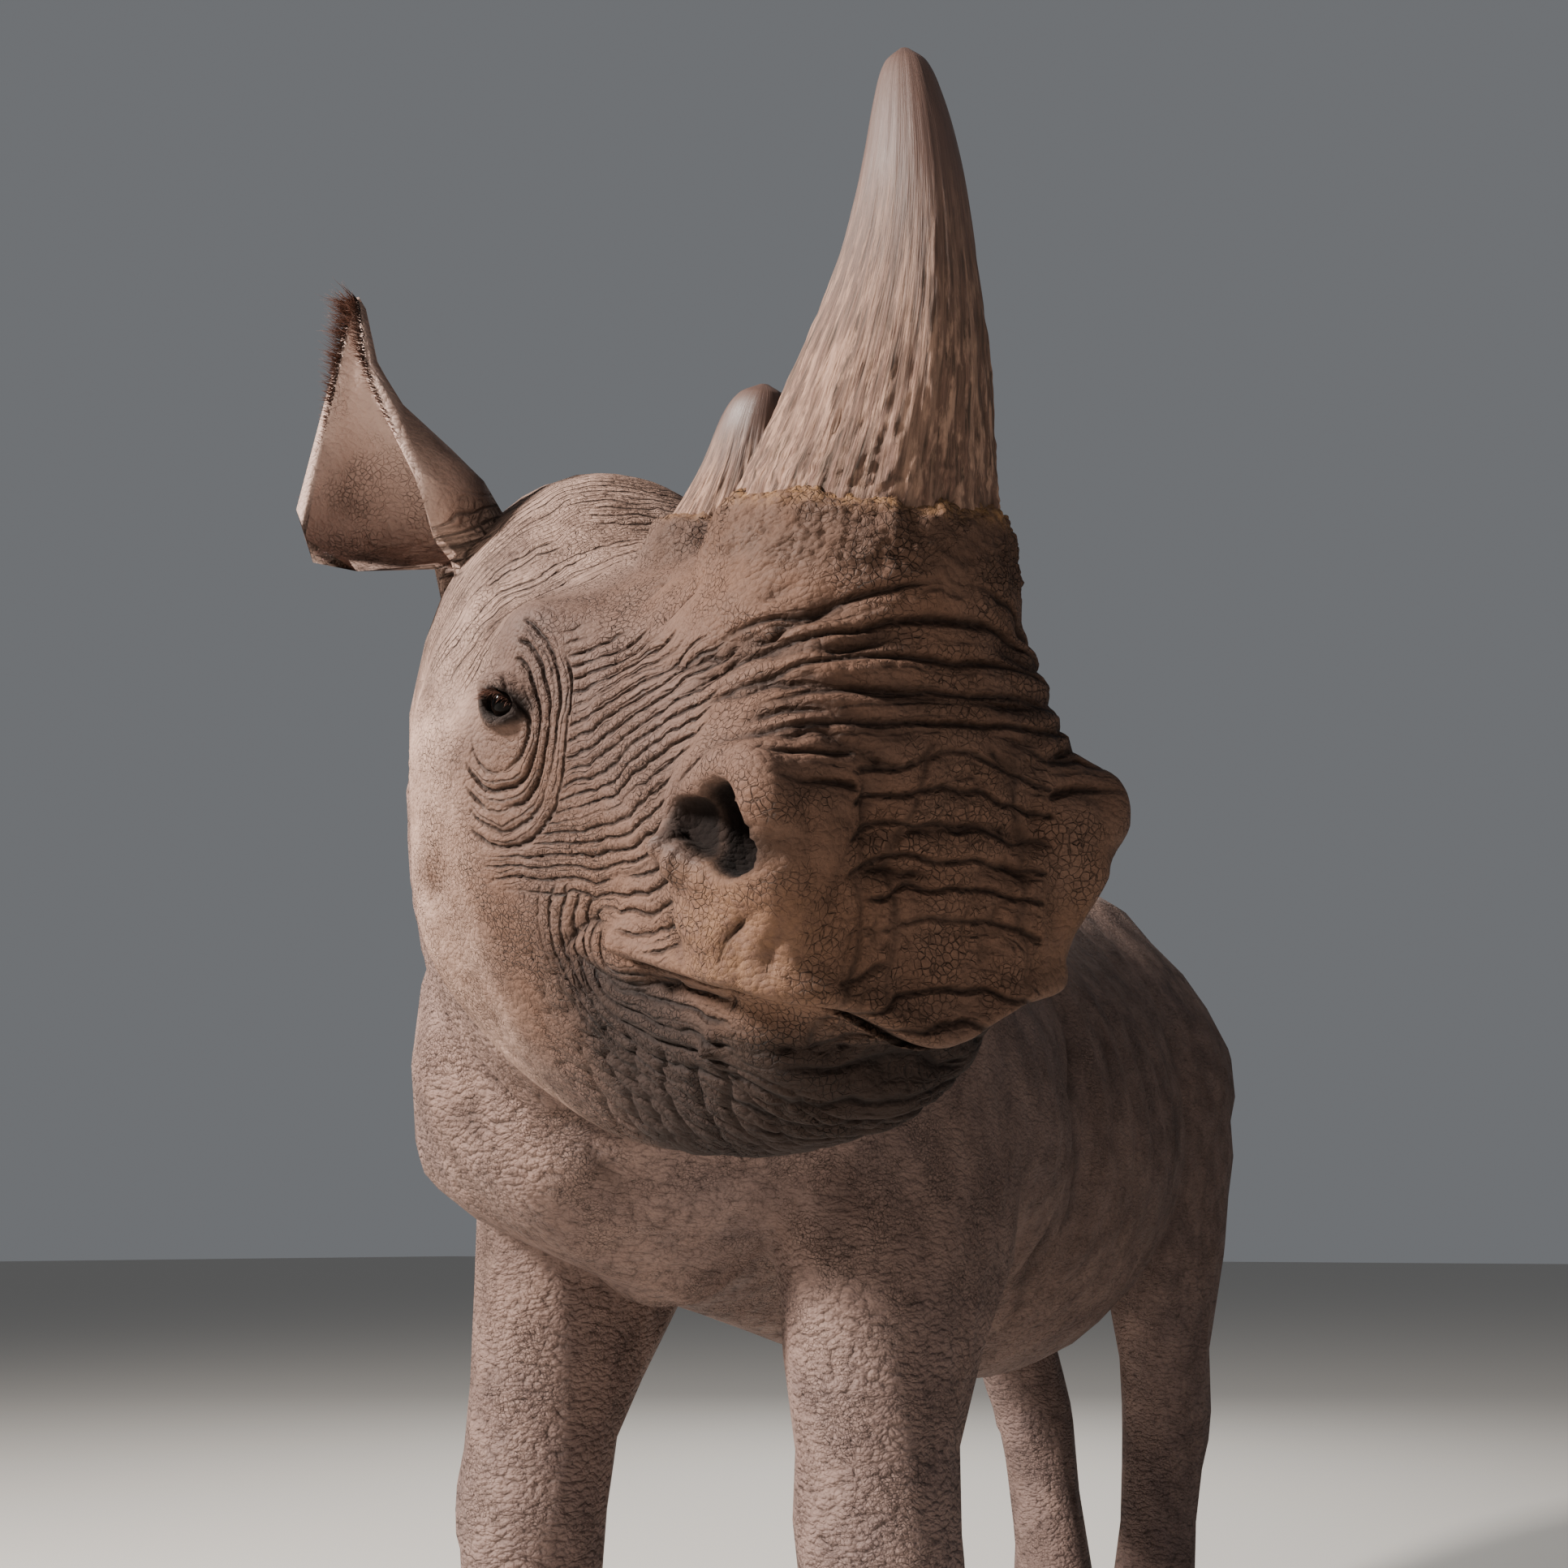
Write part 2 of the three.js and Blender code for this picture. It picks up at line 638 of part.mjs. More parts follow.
const TAIL_PATH = [
  [0, 0, 1590, 1318],
  [0.12, 0, 1668, 1300],
  [0.26, 0, 1722, 1230],
  [0.5, 2, 1742, 1060],
  [0.75, 6, 1738, 880],
  [0.92, 8, 1732, 770],
  [1, 8, 1730, 720],
];
const TAIL_SIZE = [
  [0, 46, 40],
  [0.2, 34, 30],
  [0.45, 22, 19],
  [0.75, 16, 13],
  [0.95, 13, 10],
  [1, 8, 7],
];
const TAIL_CUT = 1698;
const TAIL_STEPS = 12;
const TAIL_SIDES = 8;
const LOCKS = 8;
const LOCK_LONG = 150;
const LOCK_WIDE = 13;
const LOCK_THICK = 5;
const LOCK_TIP = 1.2;
const LOCK_STEPS = 5;
const LOCK_SPLAY = 16;
const LOCK_ROOTS = [0.72, 0.98];

function tailPoint(t) {
  const [, x, y, z] = along(TAIL_PATH, t);
  return new THREE.Vector3(x, y, z);
}

function makeTail() {
  const rings = [];
  for (let i = 0; i <= TAIL_STEPS; i += 1) {
    const t = i / TAIL_STEPS;
    const middle = tailPoint(t);
    const ahead = tailPoint(Math.min(t + 0.02, 1));
    const behind = tailPoint(Math.max(t - 0.02, 0));
    const run = ahead.sub(behind).normalize();
    const out = new THREE.Vector3(0, -run.z, run.y).normalize();
    const [, wide, deep] = along(TAIL_SIZE, t);
    rings.push(Array.from({ length: TAIL_SIDES }, (_, k) => {
      const a = (2 * Math.PI * k) / TAIL_SIDES;
      return middle.clone()
        .addScaledVector(new THREE.Vector3(1, 0, 0), wide * Math.cos(a))
        .addScaledVector(out, deep * Math.sin(a));
    }));
  }
  return loft(rings);
}

// Flat tapered locks in two rows, at the left and right edge of the tail's end.
function makeLock(index) {
  const side = index % 2 === 0 ? 1 : -1;
  const row = Math.floor(index / 2) / (LOCKS / 2 - 1);
  const root = tailPoint(LOCK_ROOTS[0] + (LOCK_ROOTS[1] - LOCK_ROOTS[0]) * row);
  const rings = [];
  for (let i = 0; i <= LOCK_STEPS; i += 1) {
    const t = i / LOCK_STEPS;
    const wide = LOCK_WIDE * (1 - t ** 1.6) + LOCK_TIP;
    const thick = LOCK_THICK * (1 - t) + LOCK_TIP;
    const x = root.x + side * (6 + LOCK_SPLAY * Math.sin(1.7 * t));
    const y = root.y + 4 * Math.sin(3 * t + index);
    const z = root.z - LOCK_LONG * (0.85 + 0.3 * row) * t;
    rings.push([
      new THREE.Vector3(x - wide, y, z),
      new THREE.Vector3(x, y - thick, z),
      new THREE.Vector3(x + wide, y, z),
      new THREE.Vector3(x, y + thick, z),
    ]);
  }
  return loft(rings);
}

// ---------------------------------------------------------------- assembly

const LEGS = [
  { name: 'foreleg_left', rows: FORE_LEG, sole: FORE_SOLE, side: 1, front: true,
    foot: FORE_FOOT_LEFT, shift: new THREE.Vector2(-34, 10) },
  { name: 'foreleg_right', rows: FORE_LEG, sole: FORE_SOLE, side: -1, front: true,
    foot: FORE_FOOT_RIGHT, shift: new THREE.Vector2(0, 10) },
  { name: 'hindleg_left', rows: HIND_LEG, sole: HIND_SOLE, side: 1, front: false,
    foot: HIND_FOOT_LEFT, shift: new THREE.Vector2(22, 90) },
  { name: 'hindleg_right', rows: HIND_LEG, sole: HIND_SOLE, side: -1, front: false,
    foot: HIND_FOOT_RIGHT, shift: new THREE.Vector2(-40, -130) },
];

// The room below the cut of one leg: flat for a foreleg, rising to the back behind.
function legCutter(leg, grow) {
  if (leg.front) {
    const size = FOOT_BLOCK.map((length) => length + 2 * grow);
    return box(size, [leg.side * 270, 0, FORE_CUT - FOOT_BLOCK[2] / 2]);
  }
  const tilt = Math.atan(HIND_CUT_SLOPE);
  const depth = HIND_BLOCK[2];
  const size = HIND_BLOCK.map((length) => length + 2 * grow);
  const centre = [
    leg.side * 260,
    HIND_CUT_AT + (depth / 2) * Math.sin(tilt),
    HIND_CUT_FRONT - (depth / 2) * Math.cos(tilt),
  ];
  return box(size, centre, new THREE.Euler(tilt, 0, 0));
}

// Everything in front of the wall at the root of the neck.
function neckCutter(grow) {
  const depth = 1400;
  const ahead = new THREE.Vector3(0, -1, 0).applyEuler(NECK_WALL_TURN);
  const centre = NECK_WALL.clone().addScaledVector(ahead, depth / 2 - grow);
  return box([1800, depth, 1800], centre.toArray(), NECK_WALL_TURN);
}

function headCutter(grow) {
  const depth = 900;
  const geometry = new THREE.BoxGeometry(1000, depth, 1000);
  geometry.translate(0, HEAD_CUT + grow - depth / 2, 0);
  geometry.applyMatrix4(HEAD_MATRIX);
  return solidOf(geometry);
}

function buildSolids() {
  const nodes = {};
  const lids = [];
  const sockets = [];
  const round = new THREE.Vector3(1, 1, 1);
  for (const side of [1, -1]) {
    const mirror = new THREE.Vector3(side, 1, 1);
    const at = EYE.clone().multiply(mirror);
    const turn = new THREE.Euler(0, 0, side * LID_TURN);
    lids.push(headBall(LID_RADIUS, LID_STRETCH, EYE_RINGS, at, turn));
    const open = at.clone().add(LID_AHEAD.clone().multiply(mirror));
    sockets.push(headBall(1, LID_OPENING, EYE_RINGS - 1, open, turn));
    sockets.push(headBall(EYE_RADIUS + SOCKET_GAP, round, EYE_RINGS, at));
    nodes[side > 0 ? 'eye_left' : 'eye_right'] = headBall(EYE_RADIUS, round, EYE_RINGS, at);
  }

  const nostrils = [1, -1].flatMap((side) => {
    const turn = new THREE.Euler(0, 0, side * NOSTRIL_TURN);
    const mirror = new THREE.Vector3(side, 1, 1);
    return [
      headBall(1, NOSTRIL_SIZE, 8, NOSTRIL.clone().multiply(mirror), turn),
      headBall(1, NOSTRIL_TAIL_SIZE, 7, NOSTRIL_TAIL.clone().multiply(mirror)),
    ];
  });

  const bosses = [makeBoss(FRONT_BOSS, FRONT_HORN_BASE), makeBoss(REAR_BOSS, REAR_HORN_BASE)];
  const skull = unite([makeSkull(), ...bosses, ...lids, makeEar(1), makeEar(-1)])
    .subtract(unite([...nostrils, ...sockets, makeMouthSlot()]));
  const legs = LEGS.map(({ rows, foot, side, shift }) => makeLeg(rows, foot, side, shift));
  let flesh = unite([makeTorso(), makeNeck(), skull, ...legs]);

  const rump = makeTail();
  const tail = unite([rump, ...Array.from({ length: LOCKS }, (_, i) => makeLock(i))]);
  flesh = flesh.add(rump);
  const behind = (grow) => box([400, 400, 1400], [0, TAIL_CUT - grow + 200, 900]);
  nodes.tail = tail.intersect(behind(0));
  flesh = flesh.subtract(behind(GAP));

  for (const [name, horn] of Object.entries(HORNS)) {
    nodes[name] = makeHorn(horn, 0);
    flesh = flesh.subtract(makeHorn(horn, GAP));
  }
  nodes.horn_rear = nodes.horn_rear.subtract(makeHorn(HORNS.horn_front, GAP));

  for (const side of [1, -1]) {
    nodes[side > 0 ? 'ear_left' : 'ear_right'] = flesh.intersect(earCutter(side, 0));
    flesh = flesh.subtract(earCutter(side, GAP));
  }

  for (const leg of LEGS) {
    let limb = largest(flesh.intersect(legCutter(leg, 0)));
    flesh = flesh.subtract(legCutter(leg, GAP));
    for (const { name, at, spread } of HOOVES) {
      const bearing = leg.side > 0 ? at : -180 - at;
      nodes[`hoof_${leg.name.replace('leg', '')}_${name}`] = makeHoof(leg.foot, leg.sole,
        bearing, spread, 0);
      limb = limb.subtract(makeHoof(leg.foot, leg.sole, bearing, spread, GAP));
    }
    nodes[leg.name] = limb;
  }

  nodes.head = flesh.intersect(headCutter(0));
  flesh = flesh.subtract(headCutter(GAP));
  nodes.neck = flesh.intersect(neckCutter(0));
  nodes.torso = flesh.subtract(neckCutter(GAP));
  return nodes;
}

// ---------------------------------------------------------------- finishes

const FINISH = {
  skin: { color: 0x96806f, roughness: 0.85 },
  horn: { color: 0x9a8468, roughness: 0.55 },
  hoof: { color: 0x5c5048, roughness: 0.6 },
  eye: { color: 0x1a120d, roughness: 0.12 },
};

function finishOf(name) {
  const kind = Object.keys(FINISH).find((word) => name.startsWith(word)) ?? 'skin';
  return new THREE.MeshStandardMaterial({ ...FINISH[kind], metalness: 0 });
}

function meshOf(name, solid) {
  const { vertProperties, triVerts } = largest(solid.simplify(SLIVER)).getMesh();
  const geometry = new THREE.BufferGeometry();
  geometry.setAttribute('position', new THREE.BufferAttribute(vertProperties, 3));
  geometry.setIndex(new THREE.BufferAttribute(triVerts, 1));
  geometry.computeVertexNormals();
  const mesh = new THREE.Mesh(geometry, finishOf(name));
  mesh.name = name;
  return mesh;
}

const rhinoceros = new THREE.Group();
for (const [name, solid] of Object.entries(buildSolids())) {
  rhinoceros.add(meshOf(name, solid));
}

// The origin is on the floor under the middle of the whole animal.
const extent = new THREE.Box3().setFromObject(rhinoceros);
const middle = extent.getCenter(new THREE.Vector3());
rhinoceros.position.set(-middle.x, -middle.y, -extent.min.z);
rhinoceros.updateMatrixWorld(true);

export default rhinoceros;
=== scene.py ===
"""A black rhinoceros as a still, life-size museum model.

The model's frame is in metres: +Z up, the animal faces -Y and its left side is +X.
Shapes are worked out in millimetres on the animal itself, and Placement moves them to
the model's frame. Head shapes have a frame of their own: x to the animal's left,
y back from the muzzle, z up.
"""

import logging
from collections.abc import Callable, Sequence
from dataclasses import dataclass
from enum import Enum

import bmesh
import bpy
import numpy as np
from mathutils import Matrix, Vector


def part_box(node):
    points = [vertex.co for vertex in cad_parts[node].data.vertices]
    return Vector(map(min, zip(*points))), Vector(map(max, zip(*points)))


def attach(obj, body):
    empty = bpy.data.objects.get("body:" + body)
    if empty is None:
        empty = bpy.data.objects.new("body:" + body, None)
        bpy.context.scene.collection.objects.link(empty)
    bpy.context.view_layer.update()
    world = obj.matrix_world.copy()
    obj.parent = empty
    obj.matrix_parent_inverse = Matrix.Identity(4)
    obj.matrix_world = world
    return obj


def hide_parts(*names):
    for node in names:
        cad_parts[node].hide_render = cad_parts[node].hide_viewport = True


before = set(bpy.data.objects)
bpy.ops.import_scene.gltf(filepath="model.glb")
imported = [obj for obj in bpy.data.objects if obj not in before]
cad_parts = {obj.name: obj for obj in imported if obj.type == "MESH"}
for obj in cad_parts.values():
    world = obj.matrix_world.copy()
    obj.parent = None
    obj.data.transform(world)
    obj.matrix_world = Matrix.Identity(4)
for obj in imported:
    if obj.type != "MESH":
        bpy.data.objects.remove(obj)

Array = np.ndarray
Point = tuple[float, float, float]
Colour = tuple[float, ...]
Rows = tuple[tuple[float, ...], ...]
Table = Sequence[Sequence[float]]
Shell = tuple[Array, Sequence[Array]]
Piece = bpy.types.Object
Mesh = bpy.types.Mesh
Material = bpy.types.Material
Socket = bpy.types.NodeSocket
LOG = logging.getLogger("rhinoceros")
MM = 0.001
BOTH_SIDES = (1, -1)


# ---- numbers


def along(rows: Table, at: Array) -> Array:
    """Smooth curves through the rows of a table; the first column is the station.

    Each column is a cubic Hermite curve whose slopes are central differences.

    Args:
        rows: table rows, by rising station.
        at: stations wanted, one-dimensional.

    Returns:
        One row of the table's other columns for each station.
    """
    table = np.asarray(rows, float)
    x, y = table[:, 0], table[:, 1:]
    slope = np.empty_like(y)
    slope[1:-1] = (y[2:] - y[:-2]) / (x[2:] - x[:-2])[:, None]
    slope[0] = (y[1] - y[0]) / (x[1] - x[0])
    slope[-1] = (y[-1] - y[-2]) / (x[-1] - x[-2])
    i = np.clip(np.searchsorted(x, at, side="right") - 1, 0, len(x) - 2)
    span = (x[i + 1] - x[i])[:, None]
    t = np.clip((np.asarray(at) - x[i])[:, None] / span, 0, 1)
    h00, h10 = 2 * t**3 - 3 * t**2 + 1, t**3 - 2 * t**2 + t
    h01, h11 = 3 * t**2 - 2 * t**3, t**3 - t**2
    return h00 * y[i] + h10 * span * slope[i] + h01 * y[i + 1] + h11 * span * slope[i + 1]


def stations(rows: Table, count: int) -> Array:
    """Stations from one end of a table to the other, closer together at the ends."""
    t = np.linspace(0, 1, count + 1)
    eased = 0.5 - 0.5 * np.cos(np.pi * t)
    return rows[0][0] + (rows[-1][0] - rows[0][0]) * (0.45 * t + 0.55 * eased)


def smoothstep(low: float, high: float, value: Array) -> Array:
    """0 below low, 1 above high and 3t^2 - 2t^3 between; low may be above high."""
    t = np.clip((value - low) / (high - low), 0, 1)
    return t * t * (3 - 2 * t)


def bell(value: Array) -> Array:
    """exp(-value^2): 1 at nothing, and next to 0 from 2 on either way."""
    return np.exp(-(value**2))


def turn_matrix(axis: Sequence[float], angle: Array | float) -> Array:
    """Rodrigues' rotation: 1 + sin(angle) K + (1 - cos(angle)) K^2, for each angle."""
    x, y, z = np.asarray(axis, float) / np.linalg.norm(axis)
    cross = np.array([[0, -z, y], [z, 0, -x], [-y, x, 0]])
    angle = np.asarray(angle, float)[..., None, None]
    return np.eye(3) + np.sin(angle) * cross + (1 - np.cos(angle)) * (cross @ cross)


def unit(vectors: Array) -> Array:
    """Vectors of length one along the given ones."""
    return vectors / np.maximum(np.linalg.norm(vectors, axis=-1, keepdims=True), 1e-12)


def circle(count: int) -> Array:
    """Angles evenly round a circle, as one row."""
    return np.linspace(0, 2 * np.pi, count, endpoint=False)[None]


def mirrored(place: Sequence[float], side: int) -> Array:
    """A place or direction of the left side, or its mirror image when side is -1."""
    return np.array(place) * (side, 1, 1)


def sided(word: str, side: int) -> str:
    """A word with the side of the animal after it."""
    return f"{word}_left" if side > 0 else f"{word}_right"


def chance(cells: Sequence[Array], seed: float) -> Array:
    """A fixed number from 0 to 1 for each cell: the fraction of a large sine."""
    total = sum(cell * weight for cell, weight in zip(cells, (127.1, 311.7, 74.7)))
    return np.modf(np.abs(np.sin(total + seed * 13.37) * 43758.5453))[0]


def grain_noise(points: Array, seed: float) -> Array:
    """Smooth noise from -1 to 1: random lattice values, blended by 3t^2 - 2t^3."""
    cell = np.floor(points)
    t = points - cell
    t = t * t * (3 - 2 * t)
    total = np.zeros(points.shape[:-1])
    for corner in np.ndindex(2, 2, 2):
        weight = np.prod(np.where(corner, t, 1 - t), axis=-1)
        at = cell + corner
        total += weight * chance((at[..., 0], at[..., 1], at[..., 2]), seed)
    return 2 * total - 1


def layered_noise(points: Array, seed: float, layers: int = 3) -> Array:
    """Grain noise summed over octaves, each half as large and twice as fine."""
    return sum(grain_noise(points * 2**k, seed + k) / 2**k for k in range(layers))


def cell_edge(u: Array, v: Array, seed: float, jitter_u: float = 0.45) -> Array:
    """How far inside its cell each point lies, for jittered cells of size one.

    The value is the distance to the second nearest centre less that to the nearest,
    so it is 0 on the border between two cells.
    """
    cu, cv = np.floor(u), np.floor(v)
    first = np.full(np.shape(u), 9.0)
    second = first.copy()
    for du in (-1, 0, 1):
        for dv in (-1, 0, 1):
            a, b = cu + du, cv + dv
            x = a + 0.5 + jitter_u * 2 * (chance((a, b), seed) - 0.5)
            y = b + 0.5 + 0.9 * (chance((a, b), seed + 5) - 0.5)
            d = np.hypot(x - u, y - v)
            second = np.minimum(second, np.maximum(first, d))
            first = np.minimum(first, d)
    return second - first


# ---- meshes


def tube_faces(rows: int, columns: int) -> tuple[Array, Array]:
    """Faces of a closed tube of rings whose two end middles follow the ring points.

    Args:
        rows: number of rings.
        columns: points in each ring.

    Returns:
        The quads of the wall and the triangles of the two ends.
    """
    ring = np.arange(columns)
    after = (ring + 1) % columns
    low = np.arange(rows - 1)[:, None] * columns
    high = low + columns
    quads = np.stack([low + ring, low + after, high + after, high + ring], -1).reshape(-1, 4)
    last = (rows - 1) * columns
    start = np.stack([np.full(columns, rows * columns), after, ring], -1)
    end = np.stack([np.full(columns, rows * columns + 1), last + ring, last + after], -1)
    return quads, np.vstack([start, end])


def closed_tube(grid: Array) -> Shell:
    """Points and faces of a closed tube through a grid of rings, facing outwards."""
    rows, columns = grid.shape[:2]
    points = np.vstack([grid.reshape(-1, 3), grid[0].mean(0)[None], grid[-1].mean(0)[None]])
    quads, ends = tube_faces(rows, columns)
    triangles = np.vstack([quads[:, :3], quads[:, [0, 2, 3]], ends])
    a, b, c = (points[triangles[:, corner]] for corner in range(3))
    if np.einsum("ij,ij->", a, np.cross(b, c)) < 0:
        quads, ends = quads[:, ::-1], ends[:, ::-1]
    return points, (quads, ends)


def mesh_object(name: str, points: Array, faces: Sequence[Array]) -> Piece:
    """A linked mesh object at the origin.

    Args:
        name: the object's name.
        points: places of the vertices, in metres in the model's frame.
        faces: arrays of vertex numbers, one array for each count of corners.
    """
    mesh = bpy.data.meshes.new(name)
    mesh.vertices.add(len(points))
    mesh.vertices.foreach_set("co", np.ascontiguousarray(points, np.float32).ravel())
    corners = np.concatenate([np.full(len(f), f.shape[1]) for f in faces])
    loops = np.concatenate([f.ravel() for f in faces]).astype(np.int32)
    mesh.loops.add(len(loops))
    mesh.loops.foreach_set("vertex_index", loops)
    mesh.polygons.add(len(corners))
    starts = np.concatenate([[0], np.cumsum(corners)[:-1]]).astype(np.int32)
    mesh.polygons.foreach_set("loop_start", starts)
    mesh.update(calc_edges=True)
    piece = bpy.data.objects.new(name, mesh)
    bpy.context.scene.collection.objects.link(piece)
    return piece


def triples(items: bpy.types.bpy_prop_collection, name: str) -> Array:
    """The three numbers that each item of a mesh has under a name."""
    flat = np.empty(len(items) * 3, np.float32)
    items.foreach_get(name, flat)
    return flat.reshape(-1, 3).astype(float)


def vertex_array(mesh: Mesh) -> Array:
    """The places of a mesh's vertices."""
    return triples(mesh.vertices, "co")


def vertex_normals(mesh: Mesh) -> Array:
    """The normals of a mesh's vertices."""
    return triples(mesh.vertex_normals, "vector")


def put_vertices(mesh: Mesh, points: Array) -> None:
    """Moves a mesh's vertices to the given places."""
    mesh.vertices.foreach_set("co", np.ascontiguousarray(points, np.float32).ravel())
    mesh.update()


def put_attribute(mesh: Mesh, name: str, values: Array) -> None:
    """Stores a number, or a vector, for each vertex."""
    kind, key = ("FLOAT", "value") if values.ndim == 1 else ("FLOAT_VECTOR", "vector")
    layer = mesh.attributes.new(name, kind, "POINT")
    layer.data.foreach_set(key, np.ascontiguousarray(values, np.float32).ravel())


def triangle_count(mesh: Mesh) -> int:
    """How many triangles a mesh's faces make."""
    return sum(len(polygon.vertices) - 2 for polygon in mesh.polygons)


def weigh(piece: Piece, weight: Array, steps: int = 8) -> str:
    """Stores a weight from 0 to 1 for each vertex, in even steps, and returns its name."""
    group = piece.vertex_groups.new(name="weight")
    level = np.round(weight * steps).astype(int)
    for step in range(1, steps + 1):
        group.add(np.nonzero(level == step)[0].tolist(), step / steps, "REPLACE")
    return group.name


def modified(piece: Piece, kind: str, **settings: object) -> Piece:
    """The same object with one modifier worked into its mesh, and its weights dropped."""
    modifier = piece.modifiers.new(kind, kind)
    for key, value in settings.items():
        setattr(modifier, key, value)
    depsgraph = bpy.context.evaluated_depsgraph_get()
    mesh = bpy.data.meshes.new_from_object(piece.evaluated_get(depsgraph))
    old = piece.data
    piece.modifiers.clear()
    piece.data = mesh
    bpy.data.meshes.remove(old)
    piece.vertex_groups.clear()
    return piece


def cut_or_join(piece: Piece, others: Sequence[Piece], operation: str) -> Piece:
    """Joins closed meshes to a closed mesh, or cuts them out of it, and drops them."""
    for other in others:
        modified(piece, "BOOLEAN", operation=operation, solver="MANIFOLD", object=other)
        mesh = other.data
        bpy.data.objects.remove(other)
        bpy.data.meshes.remove(mesh)
    return piece


def remeshed(piece: Piece, voxel: float) -> Piece:
    """The outer surface of one or more overlapping closed shells, as even quads."""
    return modified(piece, "REMESH", mode="VOXEL", voxel_size=voxel)


def merged(name: str, parts: Sequence[Shell]) -> Piece:
    """One mesh object of several shells, given as points and faces."""
    points, faces, base = [], [], 0
    for part_points, part_faces in parts:
        points.append(part_points)
        faces.extend(f + base for f in part_faces)
        base += len(part_points)
    return mesh_object(name, np.vstack(points), faces)


def finished(piece: Piece, material: Material, slot: str, *nodes: str) -> Piece:
    """Shades a piece smoothly and ties it to the frame.

    Args:
        piece: the mesh object.
        material: what covers it.
        slot: the name that its material has in the library; not used.
        nodes: the nodes of the CAD model that it takes the place of.

    Returns:
        The same piece.
    """
    mesh = piece.data
    mesh.polygons.foreach_set("use_smooth", [True] * len(mesh.polygons))
    mesh.materials.clear()
    mesh.materials.append(material)
    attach(piece, "root")
    if nodes:
        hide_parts(*nodes)
    return piece


# ---- placement


@dataclass(frozen=True)
class HeadPose:
    """Where the head is held: millimetres on the animal, and its turns in degrees."""

    at: Point = (761.0, -825.0, 966.0)
    turn: float = 64.6
    nod: float = 23.0
    tilt: float = -7.0

    def rotation(self) -> Array:
        """Turn about z, after nod about x, after tilt about y."""
        turn, nod, tilt = np.radians([self.turn, self.nod, self.tilt])
        return (turn_matrix((0, 0, 1), turn) @ turn_matrix((1, 0, 0), nod)
                @ turn_matrix((0, 1, 0), tilt))

    def out(self, points: Array) -> Array:
        """Head places as places on the animal."""
        return points @ self.rotation().T + self.at

    def into(self, points: Array) -> Array:
        """Places on the animal as head places."""
        return (points - self.at) @ self.rotation()


@dataclass(frozen=True)
class Placement:
    """Moves millimetres on the animal to metres in the model's frame and back."""

    head: HeadPose
    eye: Point = (138.0, 331.0, 34.0)

    def shift(self) -> Array:
        """How far the animal's own origin lies from the model's, from its left eye."""
        low, high = (np.array(corner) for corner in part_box("eye_left"))
        return (low + high) / 2 - self.head.out(np.array(self.eye)) * MM

    def place(self, points: Array) -> Array:
        """Millimetres on the animal as metres in the model's frame."""
        return points * MM + self.shift()

    def back(self, points: Array) -> Array:
        """Metres in the model's frame as millimetres on the animal."""
        return (points - self.shift()) / MM

    def shell(self, grid: Array) -> Shell:
        """Points and faces, in the model's frame, of a closed tube on the animal."""
        points, faces = closed_tube(grid)
        return self.place(points), faces

    def head_shell(self, grid: Array) -> Shell:
        """Points and faces, in the model's frame, of a closed tube on the head."""
        return self.shell(self.head.out(grid))


# ---- flesh


@dataclass(frozen=True)
class Form:
    """A soft swelling or hollow: it pushes points near at, fading over size."""

    at: Point
    size: Point
    push: Point
    paired: bool = True


def swell(points: Array, forms: Sequence[Form]) -> Array:
    """Points moved by forms: each adds push * exp(-|(p - at) / size|^2)."""
    moved = points.copy()
    for form in forms:
        for side in BOTH_SIDES if form.paired else (1,):
            away = (points - mirrored(form.at, side)) / form.size
            weight = np.exp(-(away**2).sum(-1, keepdims=True))
            moved = moved + weight * mirrored(form.push, side)
    return moved


def oval_rings(shape: Array, count: int) -> tuple[Array, Array]:
    """x and z of rings, one for each row of shape.

    With c and s the signed powers |cos a|^round and |sin a|^round, x is
    half * c * (1 - narrow * s^2) and z is mid + reach * s.

    Args:
        shape: top, bottom, mid, half width, narrowing above, narrowing below, round.
        count: points in each ring.
    """
    top, bottom, mid, half, above, below, rounding = (shape[:, k : k + 1] for k in range(7))
    a = circle(count)
    c = np.sign(np.cos(a)) * np.abs(np.cos(a)) ** rounding
    s = np.sign(np.sin(a)) * np.abs(np.sin(a)) ** rounding
    reach = np.where(s > 0, top - mid, mid - bottom)
    narrow = np.where(s > 0, above, below)
    return half * c * (1 - narrow * s * s), mid + reach * s


